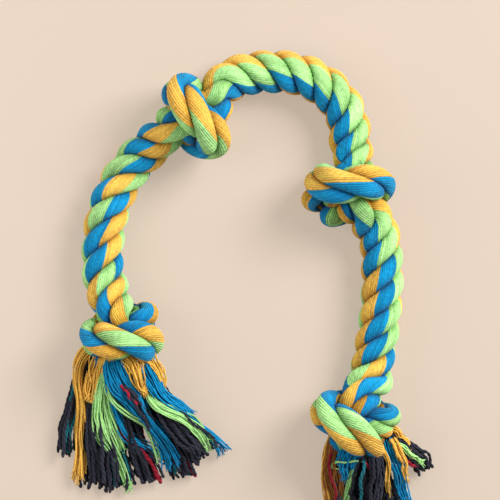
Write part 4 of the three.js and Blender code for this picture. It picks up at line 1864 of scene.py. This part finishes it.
@dataclass
class RopeToy:
    """The whole toy: its rope, its strands and its tassels.

    Attributes:
        rope: its rope.
        settling: how its strands move apart.
        packing: how their skins share the room.
        lay: how their yarns lie.
        tassels: its two ends.
        strand_slots: the name of a finish for each strand.
        strand_seed: seed of the first strand's irregularities; the others' follow it.
        dye_turns: how far each strand's dyed sectors are turned, as places along the rope, from
            0 to 1, and turns there.
    """

    rope: Rope = field(default_factory=Rope)
    settling: Settling = field(default_factory=Settling)
    packing: Packing = field(default_factory=Packing)
    lay: Lay = field(default_factory=Lay)
    tassels: tuple[Tassel, ...] = (
        Tassel("left", LEFT_LOCKS, seed=11),
        Tassel("right", RIGHT_LOCKS, seed=31),
    )
    strand_slots: tuple[str, ...] = ("blue_cotton", "lime_cotton", "gold_cotton")
    strand_seed: int = 5
    dye_turns: tuple[tuple[tuple[float, float], ...], ...] = (
        (
            (0.03, 0.0), (0.10, 0.0), (0.18, -0.42), (0.215, -0.17), (0.26, -0.1), (0.325, 0.5),
            (0.345, 0.4), (0.36, 0.35), (0.455, 0.75), (0.475, 0.52), (0.50, 0.64), (0.535, 0.74),
            (0.59, 1.15), (0.65, 1.12), (0.73, 1.0), (0.775, 1.3), (0.81, 1.66), (0.90, 2.0),
        ),
        (
            (0.03, 0.0), (0.09, 0.33), (0.17, 0.08), (0.205, 0.33), (0.24, 0.66), (0.33, 0.8),
            (0.365, 0.88), (0.45, 0.72), (0.49, 0.7), (0.525, 0.7), (0.555, 0.68), (0.63, 1.0),
            (0.72, 1.0), (0.765, 1.36), (0.80, 1.2), (0.835, 1.66), (0.89, 1.75), (0.96, 2.0),
        ),
        (
            (0.02, 0.33), (0.08, 0.66), (0.19, 0.66), (0.23, 0.33), (0.26, 0.66), (0.355, 0.7),
            (0.445, 0.85), (0.48, 0.5), (0.51, 0.62), (0.545, 0.72), (0.595, 1.15), (0.66, 1.25),
            (0.755, 1.03), (0.785, 1.2), (0.825, 1.33), (0.885, 1.66), (0.92, 2.0),
        ),
    )

    def strands(self) -> list[Strand]:
        """The rope's strands, settled and packed."""
        rope, rings = self.rope, self.lay.rings
        stations = rope.stations()
        lines, outs, turn = rope.wound(stations)
        free = rope.contact_share * rope.orbit * math.sqrt(rope.strands) / 2
        radii = free + (rope.knot_strand_spacing / 2 - free) * stations.tight
        settled = self.settling.settled([Tube(line, rope.section_step, radii) for line in lines])
        station = np.arange(len(radii))
        tubes, places = [], []
        for line in settled:
            fine, coarse = evenly(curve_through(line, rope.between), rings), lengths_along(line)
            place = np.interp(np.linspace(0, coarse[-1], rings), coarse, station)
            step = lengths_along(fine)[-1] / (rings - 1)
            tubes.append(Tube(fine, step, np.interp(place, station, radii)))
            places.append(place)
        strands = []
        full = rope.strand_diameter / 2
        for index, place in enumerate(places):
            line = tubes[index].line
            reaches = self.packing.reaches(tubes, index, full)
            # Where the skin meets another strand, for the painted shade in the creases.
            met = (reaches < self.packing.met_share * full).astype(float)
            frames = frames_along(line)
            out = np.stack([np.interp(place, station, values) for values in outs[index].T], axis=1)
            over, aside = np.sum(out * frames.across, axis=1), np.sum(out * frames.side, axis=1)
            strands.append(
                Strand(
                    name=f"strand_{index + 1}",
                    slot=self.strand_slots[index],
                    line=line,
                    reaches=blurred(reaches, self.lay.roundings),
                    painted_crease_mask=blurred(met, self.lay.painted_crease_blurs),
                    phase=np.unwrap(np.arctan2(over, aside)),
                    turn=np.interp(place, station, turn),
                    share=place / station[-1],
                    tight=np.interp(place, station, stations.tight),
                    lay=self.lay,
                    dye_turns=self.dye_turns[index],
                    seed=self.strand_seed + index,
                    index=index,
                )
            )
        return strands

    def build(self) -> None:
        """Builds and dresses every piece."""
        group = ply_group()
        laid = cotton_material(LAID_COTTON, group)
        frayed, plied = cotton_material(FRAYED_COTTON, group), cotton_material(PLIED_COTTON, group)
        strands = self.strands()
        made = {}
        for strand in strands:
            made[strand.name] = make_piece(f"{strand.name}_yarns", strand.surface(), laid)
            self.fit(made[strand.name], strand.name)
        carried: dict[str, list[bpy.types.Object]] = {strand.name: [] for strand in strands}
        for tassel in self.tassels:
            draw = np.random.default_rng(tassel.seed)
            end = 0 if tassel.side == "left" else -1
            ordered = sorted(strands, key=lambda strand: strand.line[end][0])
            for number, lock in enumerate(tassel.locks):
                node = f"{tassel.side}_{lock.name}_lock"
                finish = plied if lock.dye in DARK_DYES else frayed
                piece = make_piece(f"{node}_yarns", tassel.yarns(lock, draw), finish)
                self.fit(piece, node)
                carried[ordered[number * len(strands) // len(tassel.locks)].name].append(piece)
        for strand in strands:
            LOG.info("%s: %.3f m", strand.name, lengths_along(strand.line)[-1])

    def fit(self, piece: bpy.types.Object, node: str) -> None:
        """Rides a piece on the toy, in place of its node.

        Args:
            piece: the piece.
            node: the node that it stands for.
        """
        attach(piece, "root")
        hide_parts(node)
        LOG.info("%s: %d points", piece.name, len(piece.data.vertices))


def main() -> None:
    """Builds the scene."""
    logging.basicConfig(level=logging.INFO, format="%(message)s")
    studio = Studio()
    studio.camera()
    RopeToy().build()
    studio.build()
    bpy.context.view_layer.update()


if __name__ == "__main__":
    main()
